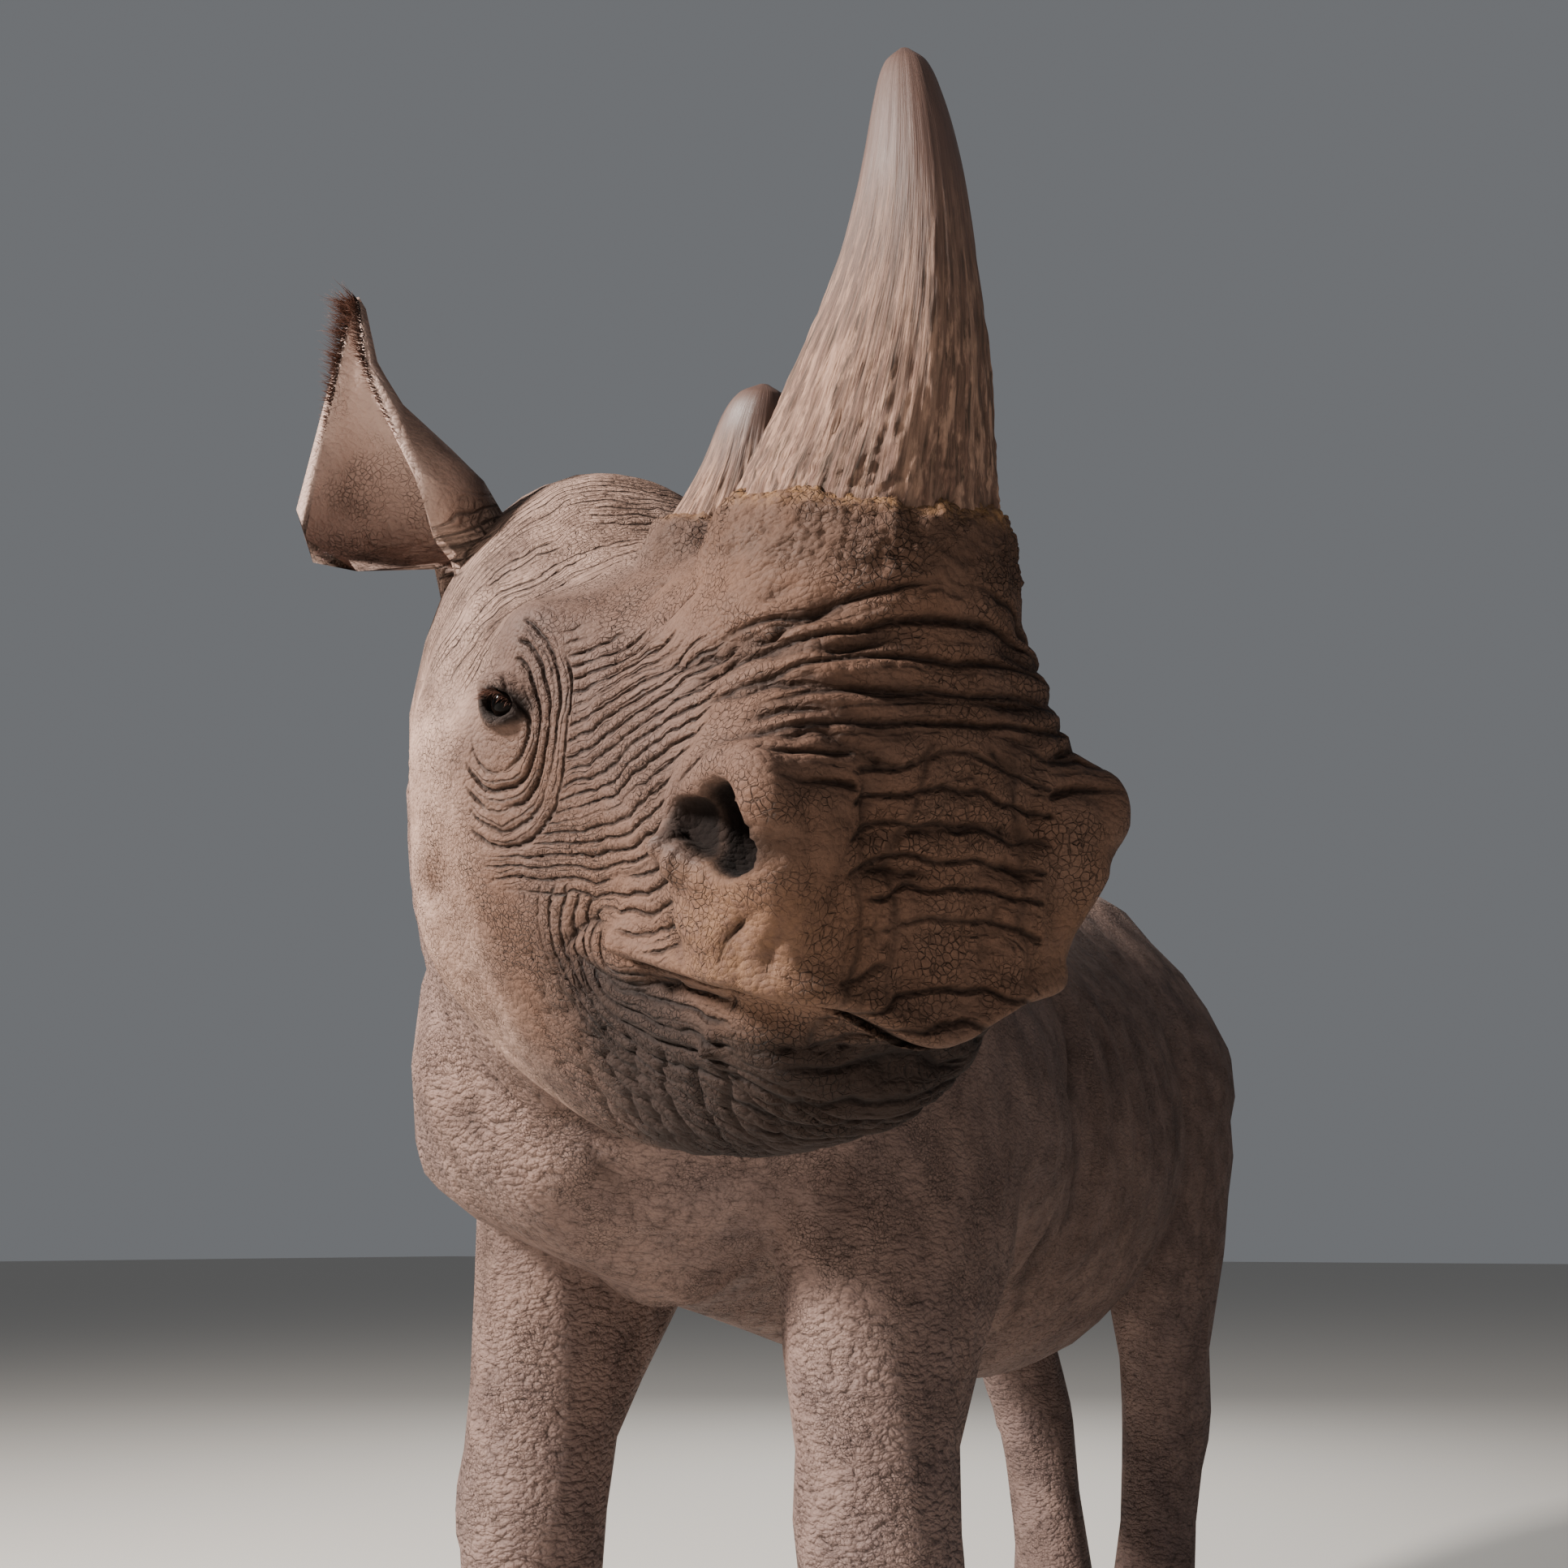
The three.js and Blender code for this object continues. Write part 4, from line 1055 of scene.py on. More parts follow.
@dataclass(frozen=True)
class Face:
    """Places on the head that folds gather round, in its own frame."""

    eye: Point = (138.0, 331.0, 34.0)
    nostril: Point = (110.0, 78.0, -8.0)
    corner: Point = (101.0, 184.0, -105.0)
    ear: Ear = Ear(1)
    mouth_level: float = -102.0
    mouth_rise: float = 14.0
    mouth_drop: float = 32.0

    def mouth_line(self, p: Array) -> Array:
        """Height of the line between the lips above or below each place.

        level + rise * sin(pi (0.5 + 0.5 t)) - drop * (1 - t) * exp(-(x / 44)^2), with t
        the share of the way from in front of the muzzle to the corner.
        """
        t = np.clip((p[:, 1] + 20) / (self.corner[1] + 20), 0, 1)
        dip = self.mouth_drop * (1 - t) * bell(p[:, 0] / 44)
        return self.mouth_level + self.mouth_rise * np.sin(np.pi * (0.5 + 0.5 * t)) - dip

    def above_mouth(self, p: Array) -> Array:
        """Height above the line between the lips."""
        return p[:, 2] - self.mouth_line(p)

    def flank(self, p: Array) -> Array:
        """1 on the sides of the head and 0 along its middle."""
        return smoothstep(58, 88, np.abs(p[:, 0]))

    def plate(self, p: Array) -> Array:
        """1 on the flat front of the upper lip, between the nostrils."""
        x, y, z = parted(p)
        return smoothstep(68, 58, x) * smoothstep(66, 54, y) * smoothstep(54, 44, z)

    def slope(self, p: Array) -> Array:
        """The measure whose level lines rise forwards over the muzzle.

        84 + z + 0.56 (y - 150) w, where w falls from 1 high up to 0.4 low down, so the
        lines fan out from the cheek and lie flatter towards the mouth.
        """
        _, y, z = parted(p)
        fan = 0.4 + 0.6 * smoothstep(-90, 30, z)
        return 84 + z + 0.56 * (y - 150) * fan

    def nostril_ring(self, p: Array) -> Array:
        """Distance from the nostril in the side view, with heights stretched a little."""
        return np.hypot(p[:, 1] - self.nostril[1], 1.1 * (p[:, 2] - self.nostril[2]))

    def lid_ring(self, p: Array) -> Array:
        """The measure of the folds that hang below and in front of the eye."""
        return np.hypot(p[:, 1] - self.eye[1], 0.8 * (p[:, 2] - self.eye[2] + 14))

    def round_eye(self, p: Array) -> Array:
        """The measure along the folds that hang below the eye."""
        return 60 * np.arctan2(p[:, 2] - self.eye[2], p[:, 1] - self.eye[1])

    def corner_ring(self, p: Array) -> Array:
        """Distance in the side view from the mouth's line and its corner."""
        return np.hypot(np.maximum(0, p[:, 1] - 212), self.above_mouth(p))

    def lip_level(self, p: Array) -> Array:
        """The measure across the rolls on the front of the upper lip."""
        return p[:, 2] + 0.0025 * p[:, 0] ** 2

    def clear(self, p: Array) -> Array:
        """0 in the nostrils and the folds round the eyes and 1 elsewhere."""
        hole = smoothstep(50, 66, self.nostril_ring(p))
        eye = smoothstep(60, 74, self.lid_ring(p))
        side = self.flank(p)
        return (1 - side * (1 - hole)) * (1 - side * (1 - eye))

    def muzzle(self, p: Array) -> Array:
        """Where the muzzle is folded across, back to below the eye."""
        _, y, z = parted(p)
        level = self.slope(p)
        low = smoothstep(20, 36, level) * smoothstep(-98, -84, z)
        return (low * smoothstep(168, 152, level) * smoothstep(352, 300, y)
                * self.clear(p) * (1 - self.plate(p)))

    def bridge(self, p: Array) -> Array:
        """Where wide folds cross the muzzle, above all over its bridge."""
        return self.muzzle(p) * (1 - 0.8 * self.side_folds(p))

    def cracks(self, p: Array) -> Array:
        """Where short cracks part the folds of the muzzle and the upper lip."""
        return np.maximum(self.muzzle(p), self.plate(p))

    def eye_folds(self, p: Array) -> Array:
        """Where the folds hang below and in front of the eye."""
        _, y, z = parted(p)
        ring = self.lid_ring(p)
        above = smoothstep(316, 330, y) * smoothstep(44, 56, z)
        return (self.flank(p) * smoothstep(22, 30, ring) * smoothstep(76, 64, ring)
                * smoothstep(362, 344, y) * smoothstep(104, 86, z) * (1 - above))

    def crown(self, p: Array) -> Array:
        """Where long fine wrinkles cross the crown, from the ears to the horns."""
        _, y, z = parted(p)
        return smoothstep(20, 70, z) * smoothstep(335, 385, y) * smoothstep(640, 600, y)

    def cheek(self, p: Array) -> Array:
        """Where the cheek is finely wrinkled, behind the folds of the eye."""
        _, y, z = parted(p)
        return (smoothstep(230, 320, y) * smoothstep(60, 10, z)
                * smoothstep(96, 120, self.lid_ring(p)) * smoothstep(640, 560, y))

    def side_folds(self, p: Array) -> Array:
        """Where narrow folds run up the side of the muzzle, from the cheek forwards."""
        _, y, z = parted(p)
        return (self.flank(p) * smoothstep(104, 128, y) * smoothstep(360, 310, y)
                * smoothstep(-92, -74, z) * smoothstep(96, 76, z)
                * smoothstep(60, 74, self.lid_ring(p))
                * smoothstep(50, 64, self.nostril_ring(p)))

    def corner_folds(self, p: Array) -> Array:
        """Where folds ring the corner of the mouth and follow the lower lip."""
        y, rise = p[:, 1], self.above_mouth(p)
        below = np.maximum(smoothstep(204, 226, y), smoothstep(0, -8, rise))
        return (self.flank(p) * smoothstep(92, 70, self.corner_ring(p)) * below
                * smoothstep(38, 18, rise) * smoothstep(84, 120, y))

    def lower_lip(self, p: Array) -> Array:
        """Where level folds cross the front of the chin."""
        _, y, z = parted(p)
        return smoothstep(-108, -120, z) * smoothstep(-216, -190, z) * smoothstep(150, 100, y)

    def chin(self, p: Array) -> Array:
        """Where the chin and the jaw are lumpy."""
        _, y, z = parted(p)
        return (smoothstep(-112, -130, z) * smoothstep(380, 270, y)
                * smoothstep(40, 58, self.corner_ring(p)))

    def ear_rise(self, p: Array) -> Array:
        """Height along the axis of the ear on the same side."""
        up, foot = unit(np.array(self.ear.axis)), self.ear.foot()
        return (np.abs(p[:, 0]) - foot[0]) * up[0] + (p[:, 1:] - foot[1:]) @ up[1:]

    def round_ear(self, p: Array) -> Array:
        """The measure round the axis of the ear on the same side."""
        x, y, _ = parted(p)
        return 60 * np.arctan2(y - self.ear.base[1], x - self.ear.base[0])

    def ear_root(self, p: Array) -> Array:
        """Where rings of fine folds gather round the root of an ear."""
        x, y, _ = parted(p)
        rise = self.ear_rise(p)
        away = np.hypot(x - self.ear.base[0] - 0.5 * rise, y - self.ear.base[1] - 0.1 * rise)
        return smoothstep(-44, -16, rise) * smoothstep(52, 30, rise) * smoothstep(78, 58, away)

    def furrows(self) -> list[Furrows]:
        """The long folds of the head, one entry for each family."""
        muzzle_run, upwards = slanted(1, 0.8, 0), slanted(0, 0, 1)
        return [
            Furrows(19, 120, 8.0, 3.0, self.slope, muzzle_run, self.bridge, 0.3, 0.1, 0.45),
            Furrows(10.8, 118, 6.0, 1.9, self.slope, muzzle_run, self.side_folds, 0.42, 0.05,
                    0.7),
            Furrows(9.6, 35, 6.2, 1.9, self.lid_ring, self.round_eye, self.eye_folds, 0.26,
                    0.0, 0.7),
            Furrows(17, 7, 4.0, 2.4, self.lip_level, sideways, self.plate, 0.4, 0.14, 0.7),
            Furrows(26, 9, 0.8, 2.0, slanted(1, 0, 0.2), upwards, self.plate, 1.2, 0.5),
            Furrows(11.5, 13, 6.4, 2.2, self.corner_ring, slanted(0, 1, -1),
                    self.corner_folds, 0.28, 0.04, 0.7),
            Furrows(17, -128, 4.5, 3.0, slanted(0, 0.06, 1), sideways, self.lower_lip, 0.5,
                    0.2, 0.7),
            Furrows(9, 0, 2.6, 1.8, self.ear_rise, self.round_ear, self.ear_root, 0.4, 0.1),
            Furrows(8.4, 0, 1.8, 1.8, slanted(-0.12, 0.95, 0.22), slanted(0.78, 0, -0.62),
                    self.crown, 0.75, 0.26),
        ]

    def bands(self) -> list[FoldBand]:
        """The stretches of the head folded into short cells."""
        jaw_level, jaw_run = slanted(0, -0.3, 1), slanted(0.6, 1, 0)
        return [
            FoldBand(21, 27, 1.8, self.slope, slanted(1, 0.8, 0), self.cracks),
            FoldBand(14, 34, 4.2, jaw_level, jaw_run, self.chin),
            FoldBand(8, 17, 1.4, jaw_level, jaw_run, self.chin),
            FoldBand(12, 22, 1.1, slanted(0, 0.5, 1), slanted(0, 1, -0.6), self.cheek),
        ]


# Creases of the body, on the animal.
BODY_CREASES = (
    Crease(((270, 600, 1150), (285, 560, 1053), (295, 505, 978), (287, 433, 875),
            (249, 441, 791), (165, 553, 681)), 15, 13),
    Crease(((297, 489, 920), (293, 509, 877), (275, 515, 823), (250, 510, 780)), 9, 9),
    Crease(((252, 735, 1139), (282, 689, 1055), (295, 674, 979)), 6, 11),
    Crease(((318, 1080, 1330), (322, 1040, 1150), (300, 1010, 960), (230, 985, 780)), 14, 22),
    Crease(((248, -124, 880), (248, -114, 821), (246, -111, 756), (246, -109, 693)), 6, 20),
    Crease(((120, 1650, 1240), (150, 1600, 1100), (150, 1560, 960)), 8, 18),
    Crease(((-150, -270, 890), (-115, -310, 902), (-65, -335, 917), (-22, -350, 922)), 15, 10),
    Crease(((71, -322, 885), (91, -299, 850), (86, -251, 812)), 8, 9),
)


@dataclass(frozen=True)
class Hide:
    """The relief of the hide: how far each place is pushed in or out."""

    pose: HeadPose
    face: Face
    neck: Neck
    legs: tuple[Leg, ...]
    horns_middle: float = 150.0
    dewlap: Lump = Lump((-112, -326, 966), 46, 13)
    knee: float = 452.0
    ankle: float = 128.0
    leg_top: float = 700.0

    def head_relief(self, points: Array) -> tuple[Array, Array]:
        """Creases and swellings of the head, in its own frame.

        Returns:
            How far each point is folded in, and how far it swells out.
        """
        folded, swollen = self.lips(points, self.head_folds(points), deepest(FACE_RIDGES, points))
        collar = self.collar(points)
        grit = layered_noise(points / (9.0, 9.0, 6.0), 11, 2)
        around = np.arctan2(points[:, 0], points[:, 1] - self.horns_middle)
        pits = cell_edge(around * 13, points[:, 2] / 5.0, 17)
        folded = folded * (1 - collar)
        swollen = swollen + collar * (1.8 * grit - 1.8 * np.exp(-pits / 0.25))
        opening = np.minimum.reduce([egg.share(points) for egg in
                                     (EYE_OPENING, NOSTRIL, NOSTRIL_TAIL)])
        keep = 1 - 0.85 * smoothstep(1.18, 1.02, opening)
        lumps = sum(lump.swelling(points, side) for lump in FACE_LUMPS for side in BOTH_SIDES)
        return folded * keep, swollen * keep + lumps

    def head_folds(self, points: Array) -> Array:
        """How far creases, long folds and short cells fold in each place on the head."""
        folded = deepest(FACE_CREASES, points)
        layered = np.zeros(len(points))
        for furrows, table in zip(self.face.furrows(), self.face_lines(points)):
            layered = np.maximum(layered, furrows.depth(table))
        folded = np.maximum(folded, layered) + 0.25 * np.minimum(folded, layered)
        for number, band in enumerate(self.face.bands()):
            short = band.depth(points, 60.0 + 7 * number)
            folded = np.maximum(folded, short) + 0.4 * np.minimum(folded, short)
        return folded

    def lips(self, points: Array, folded: Array, swollen: Array) -> tuple[Array, Array]:
        """The same relief with the mouth's groove, a roll above it and a set-back lower lip."""
        gap = self.face.above_mouth(points)
        lips = smoothstep(206, 180, points[:, 1]) * (np.abs(points[:, 0]) < 160)
        calm = 1 - 0.7 * lips * bell(gap / 14)
        folded = folded * calm + lips * 11 * bell(gap / 3.2)
        return folded, swollen + lips * (8 * bell((gap - 11) / 9) - 11 * bell((gap + 13) / 13))

    def face_lines(self, points: Array) -> list[Array]:
        """Levels and weights of each family of the head's long folds."""
        return [furrows.lines(points, 3.0 + 7 * number)
                for number, furrows in enumerate(self.face.furrows())]

    def seams(self, points: Array, far: float = 12.0) -> Array:
        """Distance in millimetres to the nearest crease of the head, more at its ends."""
        nearest = np.full(len(points), far)
        for crease in FACE_CREASES:
            for side in crease.sides:
                distance, taper = crease.away(points, side)
                faint = 2 * (1 - taper) + 0.6 * max(0.0, 5.5 - crease.deep)
                nearest = np.minimum(nearest, distance + faint)
        return nearest

    def collar(self, points: Array) -> Array:
        """1 on the rough hide round the feet of the horns."""
        near = np.maximum(smoothstep(1.12, 1.02, FRONT_BOSS.near(points)),
                          smoothstep(1.2, 1.0, REAR_BOSS.near(points)))
        return near * smoothstep(122, 142, points[:, 2])

    def body_relief(self, points: Array) -> tuple[Array, Array]:
        """Creases and swellings of the body, on the animal.

        Returns:
            How far each point is folded in, and how far it swells out.
        """
        _, y, z = points.T
        barrel = smoothstep(240, 420, y) * smoothstep(1280, 1080, y) * smoothstep(640, 760, z)
        ribs = np.sin(y / 15.5 + 1.4 * grain_noise(points / 240, 21))
        swollen = barrel * 2.6 * ribs + 4.5 * layered_noise(points / 190, 22)
        swollen = swollen + self.dewlap.swelling(points, 1)
        nape = unit(self.pose.out(np.array(self.neck.head_end)) - self.neck.root)
        soft = Furrows(62, 20, 7, 9, lambda p: p @ nape, lambda p: p[:, 2],
                       lambda p: smoothstep(-180, -330, p[:, 1]), 0.3, 0.2, 0.8)
        folded = np.maximum(deepest(BODY_CREASES, points), soft.depth(soft.lines(points, 25.0)))
        for leg in self.legs:
            folded = folded + self.leg_rings(leg, points)
        return folded, swollen

    def leg_rings(self, leg: Leg, points: Array) -> Array:
        """Rings of folds round a knee and an ankle.

        (2.6 bell at the knee + 4 bell at the ankle) * exp(-|sin(z / 6.4 + noise)| / 0.4).
        """
        z = points[:, 2]
        middle = leg.middle(np.clip(z, 0, 1100))
        near = np.hypot(points[:, 0] - middle[:, 0], points[:, 1] - middle[:, 1])
        on_leg = (near < 1.5 * middle[:, 3]) & (z < self.leg_top)
        sway = 1.3 * grain_noise(points / 60, 23)
        rings = np.exp(-np.abs(np.sin(z / 6.4 + sway)) / 0.4)
        strength = bell((z - self.knee) / 70) * 2.6 + bell((z - self.ankle) / 46) * 4.0
        return np.where(on_leg, strength * rings, 0)


# ---- node materials


class NodeTree:
    """A short way to write a material's nodes."""

    def __init__(self, name: str) -> None:
        """Starts a material with a Principled surface."""
        self.material = bpy.data.materials.new(name)
        self.material.use_nodes = True
        self.nodes = self.material.node_tree.nodes
        self.links = self.material.node_tree.links
        self.surface = self.nodes["Principled BSDF"]

    def add(self, kind: str, **settings: object) -> bpy.types.Node:
        """A new node; a setting is a property's value or an input's value or link."""
        node = self.nodes.new("ShaderNode" + kind)
        for key, value in settings.items():
            if hasattr(node, key):
                setattr(node, key, value)
            else:
                self.feed(node, key.replace("_", " "), value)
        return node

    def feed(self, node: bpy.types.Node, socket: str | int, value: object) -> None:
        """Links an output to an input, or sets the input's own value."""
        target = node.inputs[socket]
        if isinstance(value, Socket):
            self.links.new(value, target)
        else:
            target.default_value = value

    def object_places(self) -> Socket:
        """Places on the piece itself."""
        return self.add("TexCoord").outputs["Object"]

    def attribute(self, name: str, output: str = "Fac") -> Socket:
        """A number, or with Vector a vector, stored on the piece."""
        return self.add("Attribute", attribute_name=name).outputs[output]

    def noise(self, places: Socket, scale: float, detail: float = 4.0,
              rough: float = 0.55) -> Socket:
        """Cloudy noise from 0 to 1."""
        return self.add("TexNoise", Vector=places, Scale=scale, Detail=detail,
                        Roughness=rough).outputs["Fac"]

    def math(self, operation: str, a: object, b: object = 0.0) -> Socket:
        """One sum on numbers."""
        node = self.add("Math", operation=operation)
        self.feed(node, 0, a)
        self.feed(node, 1, b)
        return node.outputs[0]

    def times(self, a: object, b: object) -> Socket:
        """The product of two numbers."""
        return self.math("MULTIPLY", a, b)

    def vector(self, operation: str, *values: object) -> Socket:
        """One sum on vectors."""
        node = self.add("VectorMath", operation=operation)
        for socket, value in enumerate(values):
            self.feed(node, socket, value)
        return node.outputs[0]

    def spread(self, value: object, low: float, high: float, to_low: float = 0.0,
               to_high: float = 1.0) -> Socket:
        """A number stretched from one range to another and held inside it."""
        node = self.add("MapRange")
        for socket, number in enumerate((value, low, high, to_low, to_high)):
            self.feed(node, socket, number)
        return node.outputs[0]

    def blend(self, share: object, a: object, b: object) -> Socket:
        """Two colours mixed by a share."""
        node = self.nodes.new("ShaderNodeMix")
        node.data_type = "RGBA"
        self.feed(node, 0, share)
        self.feed(node, 6, a)
        self.feed(node, 7, b)
        return node.outputs[2]

    def level_line(self, level: object, wide: float) -> Socket:
        """1 where a level is a whole number, fading to 0 at a distance of wide."""
        part = self.math("FRACT", self.math("ADD", level, 0.5))
        away = self.math("ABSOLUTE", self.math("SUBTRACT", part, 0.5))
        return self.spread(away, 0.02, wide, 1.0, 0.0)

    def wrinkles(self, name: str, sway: Socket, shown: Socket) -> Socket:
        """Lines at the bottoms of one family of folds, with finer ones between them.

        A line lies where the stored level is a whole number, as strong as its stored
        weight. The finer ones lie twice as close, swayed, where shown lets them.
        """
        level, weight, strength = self.add(
            "SeparateXYZ", Vector=self.attribute(name, "Vector")).outputs
        main = self.times(self.level_line(level, 0.17), self.spread(weight, 0.08, 0.5))
        finer = self.level_line(self.math("ADD", self.times(level, 2.0), sway), 0.2)
        finer = self.times(finer, self.times(shown, strength))
        return self.math("MAXIMUM", main, self.times(finer, 0.55))

    def pebbles(self, places: Socket, scale: Point) -> Socket:
        """Rounded cells: 1 less the square of the distance to the nearest centre."""
        mapped = self.add("Mapping", Vector=places, Scale=scale)
        away = self.add("TexVoronoi", feature="F1", Vector=mapped.outputs[0],
                        Scale=1.0).outputs["Distance"]
        return self.math("SUBTRACT", 1.0, self.times(away, away))

    def bump(self, height: object, distance: float, strength: float = 1.0,
             normal: object = None) -> Socket:
        """A surface direction tilted by a height in units of distance."""
        node = self.add("Bump", Height=height, Distance=distance, Strength=strength)
        if normal is not None:
            self.feed(node, "Normal", normal)
        return node.outputs[0]

    def dressed(self, **looks: object) -> Material:
        """The material, with inputs of its surface linked, or set by number, by name."""
        for name, value in looks.items():
            self.feed(self.surface, name.replace("_", " "), value)
        return self.material


def rgb(red: float, green: float, blue: float) -> tuple[float, float, float, float]:
    """An opaque colour from display values of 0 to 255."""
    linear = [((v / 255 + 0.055) / 1.055) ** 2.4 if v > 10 else v / 255 / 12.92
              for v in (red, green, blue)]
    return (*linear, 1.0)


@dataclass(frozen=True)
class HideFinish:
    """Dry grey-brown hide: painted shade in its creases, paler where dusty and with painted light
    on its crown, cheeks and back, finely pebbled.
    """

    body: Colour = rgb(93, 69, 57)
    warm: Colour = rgb(106, 77, 61)
    cool: Colour = rgb(94, 79, 76)
    # pale dusty colour, also used as painted light on the crown, the cheeks and the back
    dust_and_light: Colour = rgb(190, 157, 141)
    # painted shade: the colour that the creases darken to
    crease: Colour = rgb(30, 20, 16)
    ochre: Colour = rgb(140, 104, 70)
    inner: Colour = rgb(166, 142, 132)
    # colour of the dark mask: mostly painted shade
    dark: Colour = rgb(17, 11, 9)
    families: int = len(Face().furrows())

    def relief(self, tree: NodeTree, places: Socket) -> tuple[Socket, Socket, Socket]:
        """Heights of the pebbles, the dark lines and the grain, each about 0 to 1."""
        cloud = tree.add("TexNoise", Vector=places, Scale=30.0, Detail=3.0)
        bent = tree.vector("MULTIPLY_ADD", cloud.outputs["Color"], (0.014,) * 3, places)
        net = tree.attribute("net")
        large = tree.pebbles(bent, (92.0, 92.0, 176.0))
        small = tree.pebbles(bent, (215.0, 215.0, 330.0))
        pebbled = tree.math("ADD", tree.times(large, net),
                            tree.times(small, tree.spread(net, 0, 1, 0.2, 0.36)))
        cells = tree.add("TexVoronoi", feature="DISTANCE_TO_EDGE", Vector=bent, Scale=235.0)
        cracks = tree.math("SUBTRACT", 1.0, tree.spread(cells.outputs["Distance"], 0.0, 0.09))
        shown = tree.times(tree.spread(tree.noise(places, 19.0, 3.0), 0.42, 0.66),
                           tree.spread(net, 0.03, 0.1))
        lines = tree.times(tree.times(cracks, shown), 0.6)
        sway = tree.times(tree.noise(places, 32.0, 2.0), 1.6)
        runs = tree.spread(tree.noise(places, 24.0, 2.0), 0.4, 0.6)
        for number in range(self.families):
            lines = tree.math("MAXIMUM", lines, tree.wrinkles(f"fold_{number}", sway, runs))
        lines = tree.math("MAXIMUM", lines,
                          tree.spread(tree.attribute("seam"), 0.6, 2.4, 1.0, 0.0))
        return pebbled, lines, tree.noise(places, 540.0, 4.0, 0.7)

    def colour(self, tree: NodeTree, places: Socket, relief: Sequence[Socket]) -> Socket:
        """The hide's colour: blotches, dusty patches that also carry painted light, and earth;
        then the painted shade of the relief, the ears' pale insides and the dark mask, mostly
        painted shade.
        """
        pebbled, lines, grain = relief
        base = tree.blend(tree.spread(tree.noise(places, 5.0, 5.0), 0.35, 0.68),
                          self.body, self.warm)
        base = tree.blend(tree.spread(tree.noise(places, 2.3, 3.0), 0.45, 0.75),
                          base, self.cool)
        base = tree.blend(tree.attribute("grey"), base, self.cool)
        # paler dusty patches, which also stand for painted light on the crown, the cheeks and the
        # back
        patch = tree.spread(tree.noise(places, 15.0, 7.0, 0.68), 0.3, 0.72)
        base = tree.blend(tree.times(patch, tree.attribute("dust_and_light")), base, self.dust_and_light)
        crumbs = tree.spread(tree.noise(places, 150.0, 4.0, 0.7), 0.35, 0.6)
        base = tree.blend(tree.times(crumbs, tree.attribute("ochre")), base, self.ochre)
        # painted shade and light of the relief: darker in the valleys between the pebbles,
        # lighter on their tops; the grain adds a fine speckle
        shade = tree.times(tree.spread(pebbled, 0.25, 0.95, 0.66, 1.06),
                           tree.spread(grain, 0.3, 0.7, 0.8, 1.14))
        # painted shade along the wrinkle lines and cracks
        shade = tree.times(shade, tree.spread(lines, 0.0, 1.0, 1.0, 0.3))
        base = tree.vector("MULTIPLY", base, shade)
        # painted shade in the creases, darker where the skin is folded deeper
        depth = tree.spread(tree.attribute("crease"), 0.35, 1.1, 0.0, 0.64)
        base = tree.blend(depth, base, self.crease)
        base = tree.blend(tree.attribute("pink"), base, self.inner)
        # the dark mask: mostly painted shade in the nostrils, the eyes' hollows, the mouth's line
        # and under the chin
        return tree.blend(tree.attribute("dark"), base, self.dark)

    def material(self) -> Material:
        """The hide's material, from places and the numbers stored on the skin."""
        tree = NodeTree("hide")
        places = tree.object_places()
        pebbled, lines, grain = self.relief(tree, places)
        rough = tree.spread(tree.noise(places, 40.0, 3.0), 0.3, 0.7, 0.62, 0.86)
        rough = tree.math("MAXIMUM", rough, tree.attribute("dark"))
        rough = tree.math("SUBTRACT", rough, tree.times(tree.attribute("wet"), 0.5))
        fine = tree.bump(grain, 0.0009, 0.8)
        cracked = tree.bump(tree.math("SUBTRACT", 1.0, lines), 0.0024, 1.0, fine)
        return tree.dressed(
            Base_Color=self.colour(tree, places, (pebbled, lines, grain)), Roughness=rough,
            Specular_IOR_Level=0.14, Normal=tree.bump(pebbled, 0.0046, 1.0, cracked))


@dataclass(frozen=True)
class HornFinish:
    """Horn: pale ochre fibres at the base, grey-brown and worn smooth at the tip."""

    base: Colour = rgb(96, 71, 60)
    pale: Colour = rgb(140, 110, 93)
    split: Colour = rgb(54, 41, 32)
    tip: Colour = rgb(64, 48, 43)

    def material(self) -> Material:
        """The horn's material; grain runs along it and rise is the share of its height."""
        tree = NodeTree("horn")
        grain = tree.attribute("grain", "Vector")
        rise = tree.attribute("rise")
        strands = tree.noise(grain, 1.0, 6.0, 0.62)
        coarse = tree.noise(grain, 0.28, 3.0, 0.5)
        lower = tree.blend(tree.spread(strands, 0.34, 0.62), self.split, self.base)
        lower = tree.blend(tree.spread(coarse, 0.5, 0.72, 0.0, 0.8), lower, self.pale)
        upper = tree.blend(tree.spread(strands, 0.3, 0.8, 0.0, 0.5), self.tip, self.base)
        flakes = tree.noise(tree.vector("MULTIPLY", grain, (0.22, 0.22, 0.9)), 1.0, 4.0, 0.7)
        worn = tree.times(tree.spread(flakes, 0.5, 0.62),
                          tree.spread(rise, 0.75, 0.35, 0.0, 0.85))
        split = tree.times(tree.spread(flakes, 0.42, 0.34),
                           tree.spread(rise, 0.6, 0.2, 0.0, 0.7))
        colour = tree.blend(tree.spread(rise, 0.4, 0.8), lower, upper)
        colour = tree.blend(split, tree.blend(worn, colour, self.pale), self.split)
        height = tree.times(strands, tree.spread(rise, 0.2, 0.75, 1.0, 0.12))
        return tree.dressed(
            Base_Color=colour, Roughness=tree.spread(rise, 0.35, 0.8, 0.82, 0.5),
            Specular_IOR_Level=0.28, Normal=tree.bump(height, 0.0035, 0.8))


